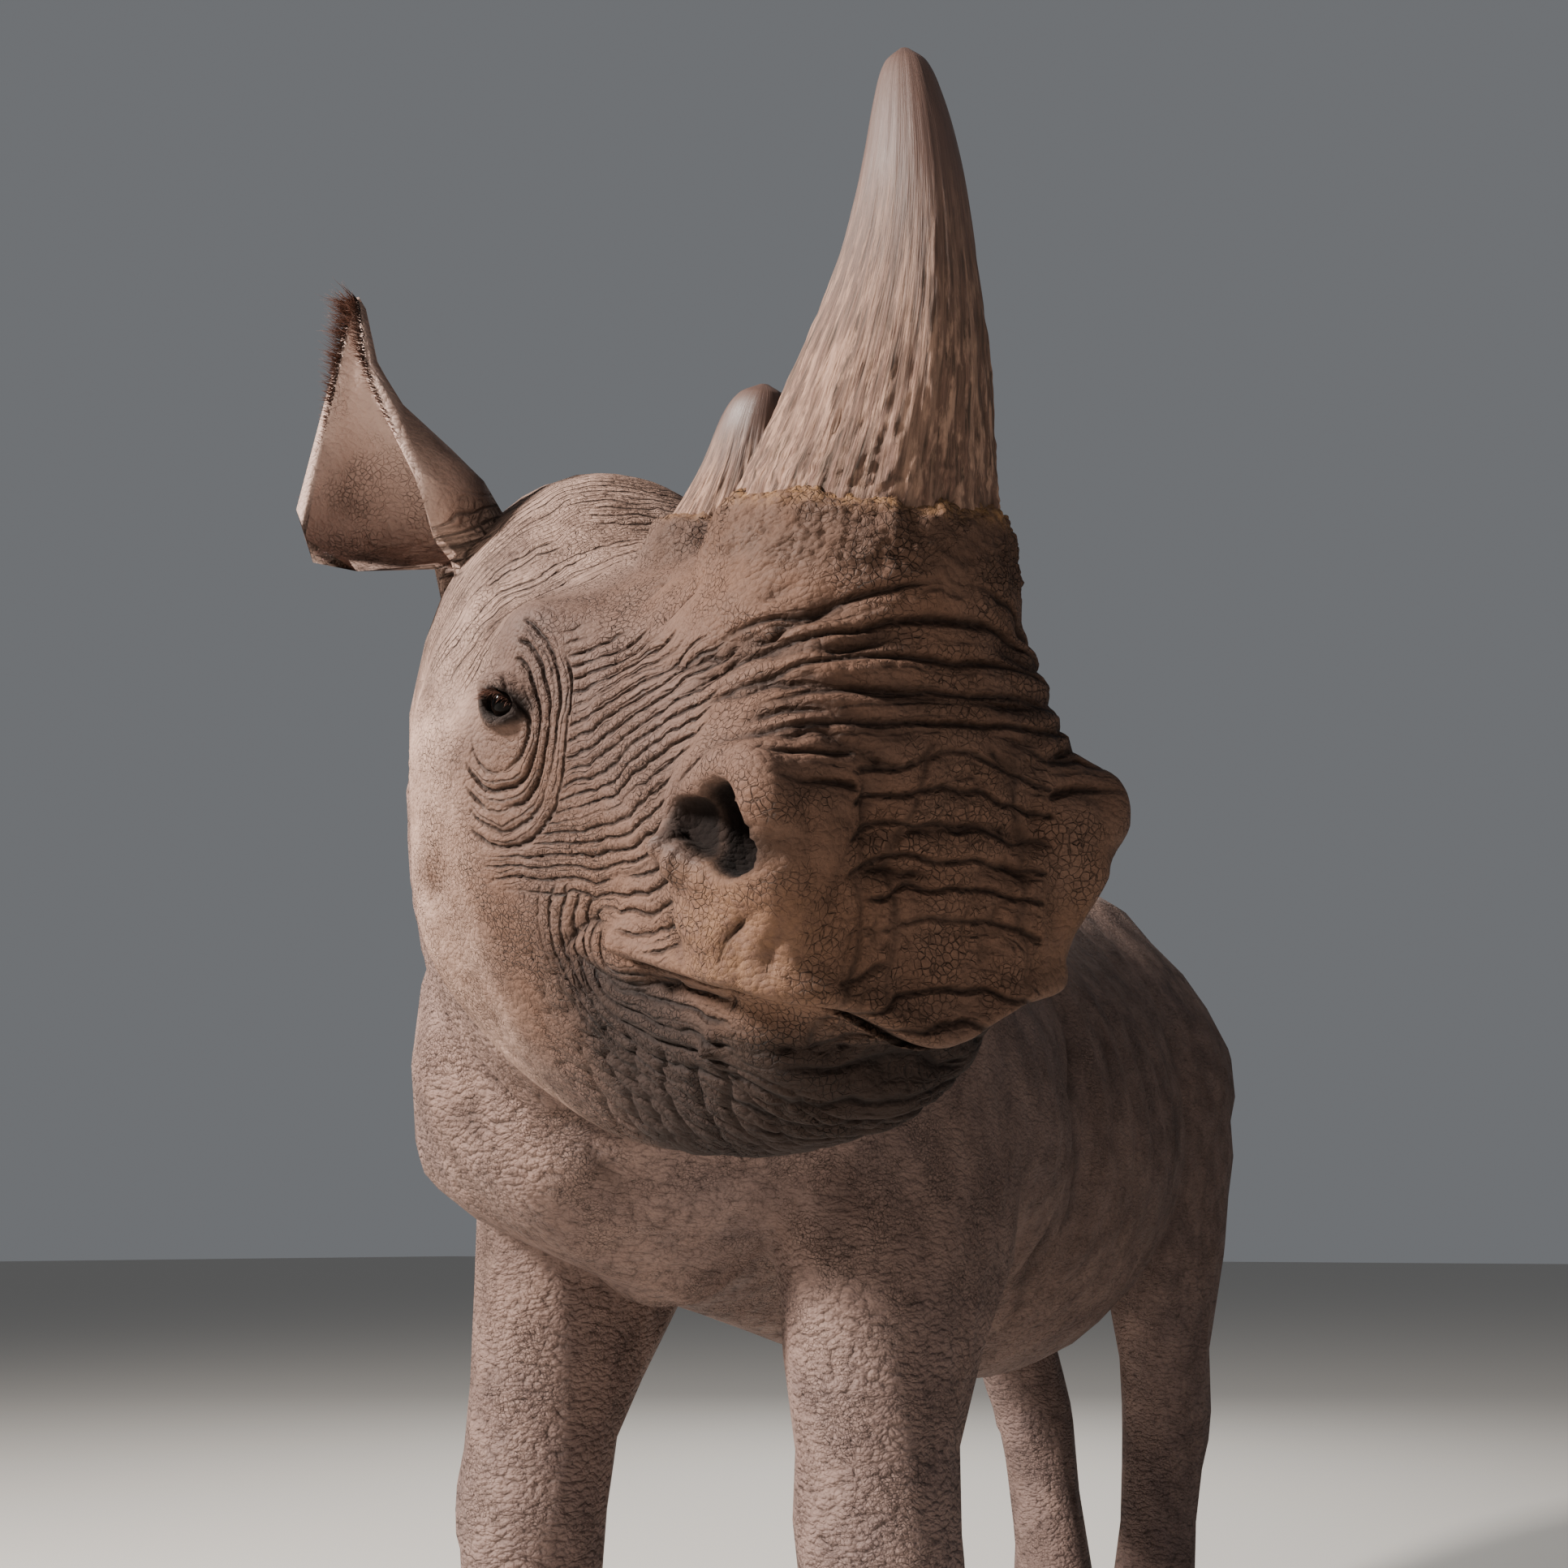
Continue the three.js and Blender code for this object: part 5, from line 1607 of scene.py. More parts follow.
@dataclass(frozen=True)
class HoofFinish:
    """Worn grey-brown nail with faint growth rings."""

    nail: Colour = rgb(96, 84, 74)
    worn: Colour = rgb(134, 120, 104)

    def material(self) -> Material:
        """The nail's material, on places of the piece."""
        tree = NodeTree("hoof")
        flat = tree.add("Mapping", Vector=tree.object_places(), Scale=(1.0, 1.0, 6.0))
        rings = tree.noise(flat.outputs[0], 22.0, 5.0)
        return tree.dressed(
            Base_Color=tree.blend(tree.spread(rings, 0.4, 0.7), self.nail, self.worn),
            Roughness=tree.spread(rings, 0.3, 0.7, 0.45, 0.7),
            Normal=tree.bump(rings, 0.002, 0.6))


@dataclass(frozen=True)
class EyeFinish:
    """A dark brown eye, wet over all."""

    iris: Colour = rgb(15, 10, 8)
    pupil: Colour = rgb(4, 3, 3)
    white: Colour = rgb(13, 10, 9)

    def material(self) -> Material:
        """The eye's material; gaze is the angle from its axis as a share of a quarter."""
        tree = NodeTree("eye")
        gaze = tree.attribute("gaze")
        ring = tree.blend(tree.spread(gaze, 0.2, 0.24), self.pupil, self.iris)
        return tree.dressed(
            Base_Color=tree.blend(tree.spread(gaze, 0.5, 0.58), ring, self.white),
            Roughness=0.14, Specular_IOR_Level=0.05)


@dataclass(frozen=True)
class HairFinish:
    """Coarse hair, darker at its root than at its end."""

    name: str
    root: Colour
    end: Colour

    def material(self) -> Material:
        """The hair's material; reach is the share of the way to the hair's end."""
        tree = NodeTree(self.name)
        return tree.dressed(
            Base_Color=tree.blend(tree.attribute("reach"), self.root, self.end),
            Roughness=0.55)


@dataclass(frozen=True)
class PlainFinish:
    """One even, dull colour for the floor."""

    name: str
    colour: Colour

    def material(self) -> Material:
        """The floor's material."""
        return NodeTree(self.name).dressed(Base_Color=self.colour, Roughness=0.95)


# ---- the skin


@dataclass(frozen=True)
class Tints:
    """The numbers stored on the skin that its colours follow, each from 0 to 1.

    head and body are the places of the vertices in the two frames, normals are in the
    head's frame, and on_head and on_ear are 1 where the skin covers these.
    """

    hide: Hide
    ears: tuple[Ear, ...]
    head: Array
    body: Array
    normals: Array
    on_head: Array
    on_ear: Array
    lip_earth: Lump = Lump((104, 66, -66), 46, 0.35)
    lid_middle: tuple[float, float] = (323.0, 33.0)

    def store(self, mesh: Mesh) -> None:
        """Stores each number on the mesh under its method's name."""
        for tint in (self.dust_and_light, self.ochre, self.pink, self.net, self.grey, self.dark,
                     self.wet):
            put_attribute(mesh, tint.__name__, tint())

    def side(self) -> Array:
        """1 on the sides of the head, and 0 along its middle and on the body."""
        return smoothstep(50, 70, np.abs(self.head[:, 0])) * self.on_head

    def nostril(self) -> Array:
        """Distance from the middle of the nearest nostril, 1 at its rim."""
        return np.minimum(NOSTRIL.share(self.head), NOSTRIL_TAIL.share(self.head))

    def within(self) -> Array:
        """1 in the nostrils."""
        return smoothstep(1.18, 0.98, self.nostril())

    def damp(self) -> Array:
        """1 in the nostrils and on their rims."""
        return smoothstep(1.3, 1.05, self.nostril()) * self.side()

    def lumps(self) -> Array:
        """1 on the lumps at the low rim of a nostril."""
        _, y, z = parted(self.head)
        low_edge = smoothstep(-14, -22, z) * smoothstep(78, 96, y)
        return self.damp() * low_edge * (1 - self.within())

    def lids(self) -> Array:
        """1 on the edges of the eyelids."""
        y, z = self.lid_middle
        away = np.hypot(0.9 * (self.head[:, 1] - y), 1.5 * (self.head[:, 2] - z))
        return smoothstep(23, 14, away)

    def collar(self) -> Array:
        """1 on the rough hide round the feet of the horns."""
        return self.hide.collar(self.head) * self.on_head

    def dust_and_light(self) -> Array:
        """Pale dusty patches and painted light on the back, the crown, the cheeks and the
        temples.
        """
        _, y, z = parted(self.head)
        crown = smoothstep(60, 150, z) * smoothstep(300, 400, y)
        cheek = smoothstep(320, 420, y) * smoothstep(120, 40, z)
        back = smoothstep(1150, 1420, self.body[:, 2]) * (1 - self.on_head)
        high = np.maximum(np.maximum(crown, 0.95 * cheek), 0.8 * smoothstep(345, 380, y))
        return np.clip(self.on_head * (high - 0.14) + 0.6 * back + 0.2, 0, 1)

    def ochre(self) -> Array:
        """Earth on the upper edge of the horns' collars and on the upper lip."""
        edge = self.collar() * smoothstep(160, 174, self.head[:, 2])
        lips = (self.lip_earth.swelling(self.head, side) for side in BOTH_SIDES)
        return np.maximum(edge, np.maximum(*lips)) * self.on_head

    def pink(self) -> Array:
        """Pale skin inside the cups of the ears."""
        inside = np.zeros(len(self.head))
        for ear in self.ears:
            _, out, _ = ear.directions()
            facing = smoothstep(0.1, 0.5, self.normals @ out)
            inside = np.maximum(inside, facing * (self.head[:, 0] * ear.side > 0))
        return 0.9 * self.on_ear * inside

    def net(self) -> Array:
        """Coarse pebbles, strongest on the legs and the neck."""
        pebbled = np.maximum(smoothstep(820, 640, self.body[:, 2]),
                             smoothstep(-60, -240, self.body[:, 1]))
        net = (1 - self.on_head) * (0.4 + 0.6 * pebbled) + 0.12 * self.on_head
        return net * (1 - 0.9 * self.on_ear) * (1 - self.damp())

    def grey(self) -> Array:
        """Cool grey on the body, on the legs above all, and on the nostrils' lumps."""
        low = smoothstep(760, 480, self.body[:, 2])
        return np.maximum((0.65 + 0.2 * low) * (1 - self.on_head), 0.9 * self.lumps())

    def dark(self) -> Array:
        """Painted shade in the nostrils, round the eyes, between the lips and under the chin;
        also darker wet skin on the nostrils' rims and a darker collar round the horns.
        """
        x, y, z = parted(self.head)
        # painted shade in the nostrils' holes, darkest deep inside
        hole = self.within() * (0.82 + 0.18 * smoothstep(121, 104, x))
        # darker wet skin on the nostrils' rims, and painted shade in the eyes' hollows
        hollow_shade_and_damp = np.maximum(np.maximum(hole, 0.2 * self.damp()), 0.92 * self.lids())
        gap = self.hide.face.above_mouth(self.head)
        # painted shade along the line between the lips
        mouth = bell(gap / 2.4) * smoothstep(196, 176, y) * (self.on_head > 0)
        collar = self.collar() * smoothstep(174, 160, z)
        # painted shade under the chin
        chin = self.on_head * smoothstep(-98, -130, z) * smoothstep(330, 240, y)
        return np.clip(self.side() * hollow_shade_and_damp + 0.7 * mouth + 0.3 * collar + 0.8 * chin, 0, 1)

    def wet(self) -> Array:
        """Wet skin on the nostrils' lumps and, a little, on the lids."""
        return self.side() * np.maximum(0.6 * self.lumps(), 0.1 * self.lids())


@dataclass(frozen=True)
class Skin:
    """One skin over head, neck, body, legs, ears and tail."""

    placement: Placement
    finish: HideFinish = HideFinish()
    face: Face = Face()
    torso: Torso = Torso()
    skull: Skull = Skull()
    neck: Neck = Neck()
    tail: Tail = Tail()
    ears: tuple[Ear, ...] = (Ear(1), Ear(-1))
    legs: tuple[Leg, ...] = (
        Leg(Limb.FORE_LEFT, (268, -12), (-34, 10)),
        Leg(Limb.FORE_RIGHT, (-230, -10), (0, 10)),
        Leg(Limb.HIND_LEFT, (118, 1146), (22, 90)),
        Leg(Limb.HIND_RIGHT, (-150, 1400), (-40, -130)),
    )
    # where legs grow: how far behind the foot, at what height, and how far is smoothed
    leg_join: Point = (40.0, 800.0, 330.0)
    # where neck and tail grow, and how far is smoothed
    joins: tuple[tuple[Point, float], ...] = (
        ((60, -260, 1100), 420), ((0, 1660, 1290), 90),
    )
    head_voxel: float = 0.0032
    body_voxel: float = 0.008
    fine_reach: float = 225.0
    eye_reach: float = 76.0
    triangles: int = 196_000
    replaced: tuple[str, ...] = (
        "head", "neck", "torso", "tail", "ear_left", "ear_right", "foreleg_left",
        "foreleg_right", "hindleg_left", "hindleg_right",
    )

    def animal_places(self, piece: Piece) -> Array:
        """Places of a piece's vertices on the animal."""
        return self.placement.back(vertex_array(piece.data))

    def head_places(self, piece: Piece) -> Array:
        """Places of a piece's vertices in the head's frame."""
        return self.placement.head.into(self.animal_places(piece))

    def base(self) -> Piece:
        """The flesh joined into one closed body."""
        shell, head_shell = self.placement.shell, self.placement.head_shell
        lids = [EYE_LIDS.rings(side) for side in BOTH_SIDES]
        parts = [self.skull.grid(), FRONT_BOSS.grid(), REAR_BOSS.grid(), *lids]
        head = merged("skin", [head_shell(grid) for grid in parts])
        head = remeshed(head, self.head_voxel)
        cutters = [mesh_object("cut", *head_shell(egg.rings(side)))
                   for egg in (EYE_OPENING, EYE_SOCKET, NOSTRIL, NOSTRIL_TAIL)
                   for side in BOTH_SIDES]
        head = cut_or_join(head, cutters, "DIFFERENCE")
        neck = mesh_object("neck_shell", *shell(self.neck.grid(self.placement.head)))
        head = cut_or_join(head, [neck], "UNION")
        head = remeshed(head, self.head_voxel)
        body = merged("body_shell", [shell(self.torso.grid()),
                                     *(shell(leg.grid()) for leg in self.legs)])
        body = remeshed(body, self.body_voxel)
        ears = [mesh_object("ear_shell", *head_shell(ear.grid())) for ear in self.ears]
        tail = mesh_object("tail_shell", *shell(self.tail.grid()))
        return cut_or_join(head, [body, *ears, tail], "UNION")

    def soften(self, piece: Piece) -> None:
        """Rounds the hollows where limbs, neck, ears and tail grow, and the nostrils' rims."""
        points = self.animal_places(piece)
        behind, height, leg_reach = self.leg_join
        spots = [((leg.foot[0] + leg.shift[0], leg.foot[1] + leg.shift[1] + behind, height),
                  leg_reach) for leg in self.legs]
        weight = np.zeros(len(points))
        for centre, reach in (*spots, *self.joins):
            away = np.linalg.norm(points - centre, axis=1)
            weight = np.maximum(weight, smoothstep(reach, 0.6 * reach, away))
        head = self.placement.head.into(points)
        for ear in self.ears:
            away = np.linalg.norm(head - ear.foot(), axis=1)
            weight = np.maximum(weight, 0.7 * smoothstep(58, 30, away))
        self.smooth(piece, weight, 40)
        head = self.head_places(piece)
        rim = np.minimum(NOSTRIL.share(head), NOSTRIL_TAIL.share(head))
        self.smooth(piece, smoothstep(1.3, 1.14, rim), 14)

    def smooth(self, piece: Piece, weight: Array, rounds: int) -> None:
        """Evens out a mesh where the weight is above nothing."""
        modified(piece, "SMOOTH", vertex_group=weigh(piece, weight), factor=0.5,
                 iterations=rounds)

    def refine(self, piece: Piece) -> None:
        """Halves the mesh size over the folded face."""
        places = self.head_places(piece)
        mask = np.linalg.norm(places / (1, 1, 1.2) - (0, 60, -20), axis=1) < self.fine_reach
        for side in BOTH_SIDES:
            away = places - mirrored(self.face.eye, side)
            mask |= np.linalg.norm(away, axis=1) < self.eye_reach
        graph = bmesh.new()
        graph.from_mesh(piece.data)
        graph.verts.ensure_lookup_table()
        edges = [e for e in graph.edges if mask[e.verts[0].index] and mask[e.verts[1].index]]
        bmesh.ops.subdivide_edges(graph, edges=edges, cuts=1, use_grid_fill=True)
        graph.to_mesh(piece.data)
        graph.free()

    def emboss(self, piece: Piece) -> None:
        """Folds the skin and stores the numbers that its colours follow.

        Each vertex moves along its normal by the swelling less the fold, which fades out
        on the ears and at the soles.
        """
        mesh = piece.data
        hide = Hide(self.placement.head, self.face, self.neck, self.legs)
        body, head = self.animal_places(piece), self.head_places(piece)
        on_head, on_ear = self.head_share(head), self.ear_share(head)
        folded, swollen = hide.body_relief(body)
        near = on_head > 0
        face_folded, face_swollen = hide.head_relief(head[near])
        folded *= 1 - on_head
        swollen *= 1 - on_head
        folded[near] += face_folded * on_head[near]
        swollen[near] += face_swollen * on_head[near]
        keep = 1 - on_ear
        push = (swollen - folded) * keep * smoothstep(2, 26, body[:, 2])
        put_vertices(mesh, vertex_array(mesh) + vertex_normals(mesh) * (push * MM)[:, None])
        # crease: how deeply the skin is folded, which the hide's colour turns into painted shade
        put_attribute(mesh, "crease", np.clip(folded * keep / 5.0, 0, 1))
        shown = on_head * keep * (1 - hide.collar(head))
        for number, table in enumerate(hide.face_lines(head)):
            table[:, 1:] *= shown[:, None]
            put_attribute(mesh, f"fold_{number}", table)
        put_attribute(mesh, "seam", hide.seams(head) + 12 * (1 - shown))
        normals = vertex_normals(mesh) @ self.placement.head.rotation()
        Tints(hide, self.ears, head, body, normals, on_head, on_ear).store(mesh)

    def thin(self, piece: Piece) -> None:
        """Brings the mesh down to its number of triangles, mostly away from the face."""
        _, y, z = parted(self.head_places(piece))
        away = np.maximum(smoothstep(300, 560, y), smoothstep(-250, -330, z))
        modified(piece, "DECIMATE", vertex_group=weigh(piece, 0.3 + 0.7 * away),
                 ratio=min(1.0, self.triangles / triangle_count(piece.data)))

    def head_share(self, head: Array) -> Array:
        """1 on the head, and 0 on the neck behind it and on what lies far below or beside."""
        x, y, z = parted(head)
        return smoothstep(640, 560, y) * (smoothstep(-330, -290, z) * (x < 260))

    def ear_share(self, head: Array) -> Array:
        """1 on the ears and 0 away from them."""
        share = np.zeros(len(head))
        for ear in self.ears:
            up, _, _ = ear.directions()
            rise = (head - ear.foot()) @ up
            away = np.linalg.norm(head - ear.foot() - rise[:, None] * up, axis=1)
            share = np.maximum(share, smoothstep(14, 34, rise) * (away < 170))
        return share

    def build(self) -> Piece:
        """The finished skin."""
        piece = self.base()
        self.soften(piece)
        self.refine(piece)
        self.emboss(piece)
        self.thin(piece)
        return finished(piece, self.finish.material(), "skin", *self.replaced)


# ---- horns


@dataclass(frozen=True)
class Horn:
    """One horn on the nose: a tapered oval that leans, rough at its foot."""

    name: str
    node: str
    base: Point
    tip: Point
    bow: float
    wide: float
    long: float
    # share of the height, half width and half length as shares of the base's own
    taper: Rows
    seed: float
    sink: float = 8.0
    # sizes of the strands, the fine fibres, the clumps and the shreds
    grains: Rows = ((2.4, 2.4, 1.0), (1.1, 1.1, 0.6), (9.0, 9.0, 2.6), (3.2, 3.2, 0.22))

    def surface(self, head: HeadPose, steps: int = 230,
                count: int = 260) -> tuple[Array, Array, Array]:
        """Rings of the horn on the animal, with its grain and rise.

        The axis is the line from base to tip, bowed by bow * sin(pi t^1.3), and fibres
        move each point out along its ring's normal.

        Returns:
            The grid of places, the grain vectors and the shares of the height.
        """
        t = np.linspace(0, 1, steps + 1)[:, None] ** 0.9
        a = circle(count)
        wide, long = (v[:, None] for v in along(self.taper, t[:, 0]).T)
        x, y, z = (low + (high - low) * t for low, high in zip(self.base, self.tip))
        y = y + self.bow * np.sin(np.pi * t**1.3)
        z = z - self.sink * (1 - t) ** 8
        ring = np.stack(np.broadcast_arrays(np.cos(a) * self.wide, np.sin(a) * self.long,
                                            z / 16), -1)
        strands, fine, clumps, shreds = (grain_noise(ring / size, self.seed + 3 * number)
                                         for number, size in enumerate(self.grains))
        rough = smoothstep(0.86, 0.14, t) * (1.3 * strands + 0.8 * fine + 1.3 * clumps)
        out = rough + 0.3 * clumps + bell((t - 0.15) / 0.07) * (1.6 * shreds + 0.6)
        reach_x = self.wide * wide + out * np.minimum(wide * 3, 1)
        reach_y = self.long * long + out * np.minimum(long * 3, 1)
        places = np.stack(np.broadcast_arrays(x + reach_x * np.cos(a),
                                              y + reach_y * np.sin(a), z), -1)
        grain = ring / (2.0, 2.0, 1.6)
        rise = np.broadcast_to(t, grain.shape[:-1])
        return head.out(places), grain, rise

    def build(self, placement: Placement, material: Material) -> Piece:
        """The finished horn."""
        grid, grain, rise = self.surface(placement.head)
        piece = mesh_object(self.name, *placement.shell(grid))
        ends = [0, -1]
        put_attribute(piece.data, "grain", np.vstack([grain.reshape(-1, 3), grain[ends, 0]]))
        put_attribute(piece.data, "rise", np.concatenate([rise.ravel(), rise[ends, 0]]))
        return finished(piece, material, "horn", self.node)


FRONT_HORN = Horn(
    "front_horn", "horn_front", (0, 158, 136), (0, 165, 432), -24, 76, 90,
    ((0, 1.12, 1.06), (0.1, 0.97, 0.98), (0.22, 0.83, 0.87), (0.4, 0.64, 0.7),
     (0.6, 0.45, 0.49), (0.78, 0.33, 0.35), (0.9, 0.24, 0.25), (0.97, 0.15, 0.16),
     (1, 0.04, 0.04)), 31.0)
REAR_HORN = Horn(
    "rear_horn", "horn_rear", (0, 314, 146), (0, 292, 258), 0, 50, 58,
    ((0, 1.1, 1.1), (0.2, 0.86, 0.86), (0.5, 0.6, 0.62), (0.8, 0.46, 0.46),
     (0.94, 0.3, 0.3), (1, 0.06, 0.06)), 47.0)


# ---- eyes


@dataclass(frozen=True)
class Eye:
    """An eyeball with a raised, clear front."""

    side: int
    radius: float = 14.0
    cornea: float = 1.6
    looks: Point = (0.9, -0.42, 0.02)

    def build(self, placement: Placement, material: Material) -> Piece:
        """The finished eye: radius + cornea * exp(-(angle / 0.5)^2) from its centre."""
        u = np.linspace(0, np.pi, 60)[1:-1, None]
        v = circle(96)
        axis = unit(mirrored(self.looks, self.side))
        across = unit(np.cross(axis, (0, 0, 1)))
        up = np.cross(across, axis)
        reach = self.radius + self.cornea * bell(u / 0.5) + 0 * v
        places = ((reach * np.cos(u))[..., None] * axis
                  + (reach * np.sin(u) * np.cos(v))[..., None] * across
                  + (reach * np.sin(u) * np.sin(v))[..., None] * up)
        shell = placement.head_shell(places + mirrored(placement.eye, self.side))
        piece = mesh_object(sided("eyeball", self.side), *shell)
        gaze = np.concatenate([(u / (np.pi / 2) + 0 * v).ravel(), (0.0, 2.0)])
        put_attribute(piece.data, "gaze", gaze)
        return finished(piece, material, "eye", sided("eye", self.side))


# ---- hooves


@dataclass(frozen=True)
class Hooves:
    """The three nails of one foot, as one piece."""

    leg: Leg
    tall: float = 66.0
    # bearing of the nail and half its spread in degrees, on a left foot
    nails: tuple[tuple[str, float, float], ...] = (
        ("middle", -90, 27), ("outer", -38, 19), ("inner", -142, 19),
    )
    # share of the height, share of the width, lean
    taper: Rows = ((0, 1.0, 0), (0.25, 1.0, 1), (0.55, 0.92, 5), (0.8, 0.74, 10),
                   (0.93, 0.5, 15), (1, 0.24, 19))
    sunk: float = 22.0

    def nail(self, bearing: float, spread: float) -> Array:
        """Rings up one nail, from worn edge to cuticle.

        A ring's outer arc bulges by 7 * (1 - s^4) over its share s of the half width,
        and leans in towards the top; its inner arc lies sunk in the foot. Both follow the
        leg's outline just above its sole.
        """
        wide, long = self.leg.rows[1][3:]
        t = np.linspace(0, 1, 46)[:, None]
        share, lean = (v[:, None] for v in along(self.taper, t[:, 0]).T)
        s = np.sin(np.linspace(-np.pi / 2, np.pi / 2, 36))[None]
        a = np.radians(bearing + spread * share * s)
        out = 8.5 * (1 - s**4) * (1 - 0.25 * t) - lean + 0.5 * np.sin(t * 34)
        z = np.broadcast_to(t * self.tall, a.shape)
        outer, inner = (np.stack([(wide + by) * np.cos(a), (long + by) * np.sin(a), z], -1)
                        for by in (out, -self.sunk - lean))
        return np.concatenate([outer, inner[:, ::-1]], axis=1) + (*self.leg.foot, 0.0)

    def build(self, placement: Placement, material: Material) -> Piece:
        """The finished nails of one foot."""
        left = self.leg.limb.side > 0
        label = self.leg.limb.label
        shells = [placement.shell(self.nail(bearing if left else -180 - bearing, spread))
                  for _, bearing, spread in self.nails]
        return finished(merged(f"nails_{label}", shells), material, "hoof",
                        *(f"hoof_{label}_{name}" for name, _, _ in self.nails))


# ---- hair


@dataclass(frozen=True)
class Locks:
    """Flat tapered locks of hair, many in one mesh."""

    roots: Array
    lie: Array
    bend: Array
    across: Array
    long: Array
    wide: Array
    thick: float
    spots: Array
    steps: int = 5

    def rings(self, t: Array) -> Array:
        """Diamond rings along each lock, at shares t of its length.

        A lock runs root + long * (t lie + t^2 bend), and its diamond section shrinks by
        (1 - t^1.7) to a point.
        """
        long = self.long[:, None, None]
        path = self.roots[:, None] + long * (t * self.lie[:, None] + t**2 * self.bend[:, None])
        run = unit(self.lie[:, None] + 2 * t * self.bend[:, None])
        deep = unit(np.cross(run, self.across[:, None]))
        slim = np.maximum(1 - t**1.7, 0.04)
        half_wide = self.wide[:, None, None] * slim * self.across[:, None]
        half_deep = self.thick * slim * deep
        return np.stack([path + half_wide, path + half_deep, path - half_wide,
                         path - half_deep], axis=2)

    def faces(self) -> tuple[Array, Array]:
        """Quads of one lock's wall, and the quads that close its two ends."""
        quads, _ = tube_faces(self.steps + 1, 4)
        last = self.steps * 4
        ends = np.array([[3, 2, 1, 0], [last, last + 1, last + 2, last + 3]])
        return quads[:, ::-1], ends[:, ::-1]

    def unwrap(self, mesh: Mesh, patch: float = 0.003) -> None:
        """Gives each lock its own small patch of the map, at its spot."""
        local = np.stack(np.broadcast_arrays(
            (-0.5, 0.0, 0.5, 0.0), np.linspace(-0.5, 0.5, self.steps + 1)[:, None]), -1)
        places = (self.spots[:, None] + patch * local.reshape(1, -1, 2)).reshape(-1, 2)
        corner = np.empty(len(mesh.loops), np.int32)
        mesh.loops.foreach_get("vertex_index", corner)
        layer = mesh.uv_layers.new(name="OFBake")
        layer.data.foreach_set("uv", places[corner].astype(np.float32).ravel())

    def build(self, name: str, placement: Placement, material: Material) -> Piece:
        """The finished locks."""
        t = np.linspace(0, 1, self.steps + 1)[None, :, None]
        rings = self.rings(t)
        base = (np.arange(len(self.roots)) * t.size * 4)[:, None, None]
        piece = mesh_object(name, placement.place(rings.reshape(-1, 3)),
                            [(face + base).reshape(-1, 4) for face in self.faces()])
        put_attribute(piece.data, "reach", np.broadcast_to(t, rings.shape[:3]).ravel())
        self.unwrap(piece.data)
        return finished(piece, material, "skin")


@dataclass(frozen=True)
class EarFringe:
    """The dark hair along the rim of an ear, longest at its tip."""

    ear: Ear
    count: int = 1500

    def build(self, placement: Placement, material: Material) -> Piece:
        """The finished fringe."""
        draw = np.random.default_rng(61 + self.ear.side)
        height = 60 + 139 * draw.beta(1.5, 0.8, self.count)
        rim = draw.random(self.count) < 0.6
        share = np.where(rim, 0.985, 0.015)
        inset = 0.2 + 0.6 * draw.random(self.count)
        root = self.ear.sheet(height, share, inset)
        inner = self.ear.sheet(height, np.abs(share - 0.08), inset)
        up, out, _ = self.ear.directions()
        lie = unit(unit(root - inner) + 0.5 * out + 0.5 * up
                   + 0.35 * draw.normal(size=root.shape))
        bend = 0.3 * up + 0.22 * draw.normal(size=root.shape)
        across = unit(np.cross(lie, draw.normal(size=root.shape)))
        long = (4 + 9 * smoothstep(110, 198, height)) * (0.6 + 0.7 * draw.random(self.count))
        turn = placement.head.rotation().T
        spots = np.stack([0.05 + 0.4 * share + 0.5 * (self.ear.side < 0), height / 220], -1)
        locks = Locks(placement.head.out(root), lie @ turn, bend @ turn, across @ turn, long,
                      0.22 + 0.22 * draw.random(self.count), 0.18, spots)
        return locks.build(sided("fringe", self.ear.side), placement, material)


@dataclass(frozen=True)
class TailTuft:
    """The black brush at the end of the tail, along its two edges."""

    tail: Tail
    count: int = 620

    def build(self, placement: Placement, material: Material) -> Piece:
        """The finished tuft."""
        draw = np.random.default_rng(67)
        t = 0.66 + 0.335 * draw.beta(1.5, 0.9, self.count)
        a = np.where(draw.random(self.count) < 0.5, 0, np.pi)
        a = a + 0.55 * draw.normal(size=self.count)
        wide, deep = along(self.tail.size, t).T
        out = np.stack([np.cos(a), np.sin(a), np.zeros(self.count)], -1)
        root = self.tail.middle(t) + 0.8 * out * np.stack([wide, deep, wide * 0], -1)
        lie = unit(0.34 * out + (0, 0, -1.0) + 0.08 * draw.normal(size=out.shape))
        bend = (0.0, 0.0, -0.25) - 0.22 * out + 0.09 * draw.normal(size=out.shape)
        across = unit(np.cross(lie, out + 0.6 * draw.normal(size=out.shape)))
        long = (70 + 60 * t) * (0.7 + 0.45 * draw.random(self.count))
        spots = np.stack([0.02 + 0.96 * np.mod(a / (2 * np.pi), 1), 0.02 + 0.9 * t], -1)
        locks = Locks(root, lie, bend, across, long, 1.0 + 0.9 * draw.random(self.count),
                      0.7, spots)
        return locks.build("tail_tuft", placement, material)


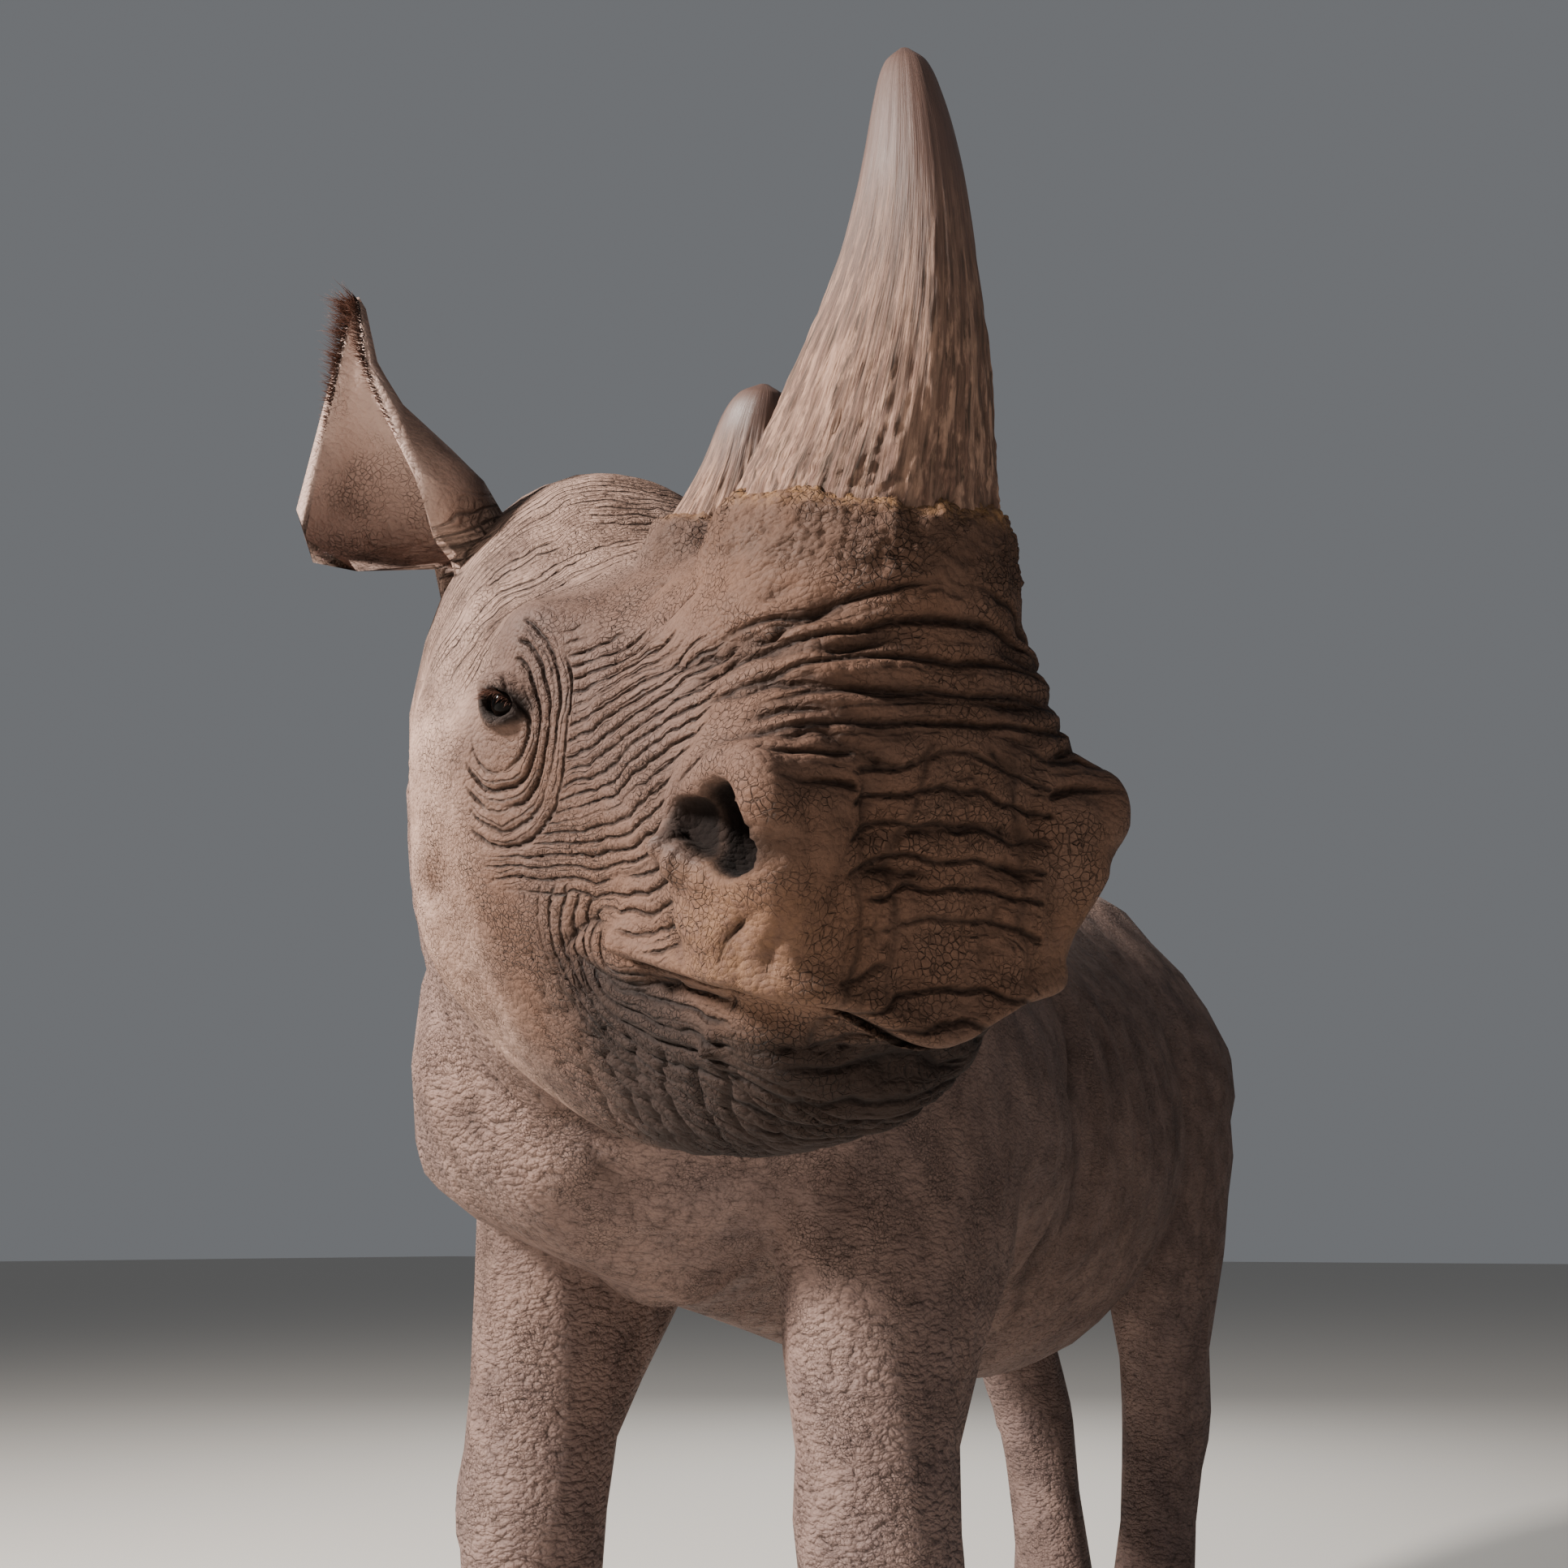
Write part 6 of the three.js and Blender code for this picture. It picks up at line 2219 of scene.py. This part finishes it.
@dataclass(frozen=True)
class Lashes:
    """Short lashes on the upper lid."""

    side: int
    count: int = 46

    def build(self, placement: Placement, material: Material) -> Piece:
        """The finished lashes of one eye."""
        draw = np.random.default_rng(71 + self.side)
        s = np.linspace(-1, 1, self.count)
        turn = turn_matrix((0, 0, 1), -0.42)
        local = np.stack([16.5 - 3.2 * s**2, 12.0 * s, 7.6 - 6.5 * s**2], -1) @ turn.T
        root = mirrored(placement.eye + local, self.side)
        lie = np.stack([0.8 + 0 * s, 0.5 * s, 0.12 + 0 * s], -1) @ turn.T
        lie = mirrored(unit(lie + 0.15 * draw.normal(size=lie.shape)), self.side)
        bend = (0.0, 0.0, -0.35) + 0.1 * draw.normal(size=lie.shape)
        across = unit(np.cross(lie, (0, 0, 1)))
        rotation = placement.head.rotation().T
        spots = np.stack([0.5 + 0.2 * s, 0.3 + 0.4 * (self.side > 0) + 0 * s], -1)
        locks = Locks(placement.head.out(root), lie @ rotation, bend @ rotation,
                      across @ rotation, 7 + 4 * draw.random(self.count),
                      0.4 + 0 * s, 0.3, spots)
        return locks.build(sided("lashes", self.side), placement, material)


# ---- studio


def aimed(name: str, data: bpy.types.ID, at: Array, toward: Array) -> Piece:
    """A camera or a light at a place, facing another."""
    thing = bpy.data.objects.new(name, data)
    bpy.context.scene.collection.objects.link(thing)
    thing.location = Vector(at)
    thing.rotation_euler = Vector(toward - at).to_track_quat("-Z", "Y").to_euler()
    return thing


@dataclass(frozen=True)
class Lamp:
    """A square soft light, with its size in metres and its power in watts."""

    name: str
    at: Point
    toward: Point
    size: float
    power: float
    colour: Point

    def build(self) -> None:
        """Puts the light in the scene."""
        data = bpy.data.lights.new(self.name, "AREA")
        data.size = self.size
        data.energy = self.power
        data.color = self.colour
        aimed(self.name, data, np.array(self.at), np.array(self.toward))


@dataclass(frozen=True)
class Studio:
    """A pale floor, soft light and the camera."""

    placement: Placement
    camera_at: Point = (1034.0, -1459.0, 780.0)
    heading: float = 32.0
    focal: float = 1750.0
    horizon: float = 564.0
    image: float = 1932.0
    sensor: float = 36.0
    floor: Colour = rgb(200, 196, 190)
    floor_reach: float = 60.0
    sky: Colour = rgb(222, 226, 232)
    sky_strength: float = 0.22
    lamps: tuple[Lamp, ...] = (
        Lamp("key", (-2.4, -4.6, 3.6), (0.4, -1.1, 0.9), 0.7, 1300.0, (1.0, 0.94, 0.88)),
        Lamp("fill", (3.6, -2.4, 1.8), (0.3, -0.6, 0.9), 2.5, 20.0, (0.92, 0.96, 1.0)),
        Lamp("back", (-2.0, 3.6, 3.4), (0.0, 0.4, 1.0), 2.0, 120.0, (1.0, 0.98, 0.95)),
    )

    def forward(self) -> Array:
        """The way the camera looks: turned by heading, pitched up by the horizon's drop."""
        psi, pitch = np.radians(self.heading), np.arctan(self.horizon / self.focal)
        return np.array((-np.sin(psi) * np.cos(pitch), np.cos(psi) * np.cos(pitch),
                         np.sin(pitch)))

    def camera(self) -> None:
        """The camera, level across, with the focal length given in image pixels."""
        data = bpy.data.cameras.new("camera")
        data.sensor_width = self.sensor
        data.lens = self.sensor * self.focal / self.image
        data.clip_start, data.clip_end = 0.05, 200.0
        at = self.placement.place(np.array(self.camera_at))
        bpy.context.scene.camera = aimed("camera", data, at, at + self.forward())

    def build(self) -> None:
        """The whole studio."""
        corners = np.array([(-1, -1, 0), (1, -1, 0), (1, 1, 0), (-1, 1, 0)])
        floor = mesh_object("floor", self.floor_reach * corners, [np.array([[0, 1, 2, 3]])])
        floor.data.materials.append(PlainFinish("floor", self.floor).material())
        world = bpy.data.worlds.new("studio")
        bpy.context.scene.world = world
        world.use_nodes = True
        sky = world.node_tree.nodes["Background"]
        sky.inputs["Color"].default_value = self.sky
        sky.inputs["Strength"].default_value = self.sky_strength
        for lamp in self.lamps:
            lamp.build()
        self.camera()


# ---- the whole model


def main() -> None:
    """Builds the rhinoceros and its studio, and reports each piece."""
    logging.basicConfig(level=logging.INFO, format="%(message)s")
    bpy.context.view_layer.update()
    placement = Placement(HeadPose())
    skin = Skin(placement)
    horn = HornFinish().material()
    nail = HoofFinish().material()
    eye = EyeFinish().material()
    dark_hair = HairFinish("dark_hair", rgb(30, 20, 16), rgb(98, 58, 40)).material()
    black_hair = HairFinish("black_hair", rgb(24, 20, 18), rgb(44, 36, 32)).material()
    pieces = [skin.build()]
    pieces += [part.build(placement, horn) for part in (FRONT_HORN, REAR_HORN)]
    pieces += [Eye(side).build(placement, eye) for side in BOTH_SIDES]
    pieces += [Hooves(leg).build(placement, nail) for leg in skin.legs]
    pieces += [EarFringe(ear).build(placement, dark_hair) for ear in skin.ears]
    pieces += [Lashes(side).build(placement, dark_hair) for side in BOTH_SIDES]
    pieces.append(TailTuft(skin.tail).build(placement, black_hair))
    for piece in pieces:
        LOG.info("%s: %d faces", piece.name, len(piece.data.polygons))
    Studio(placement).build()
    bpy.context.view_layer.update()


if __name__ == "__main__":
    main()
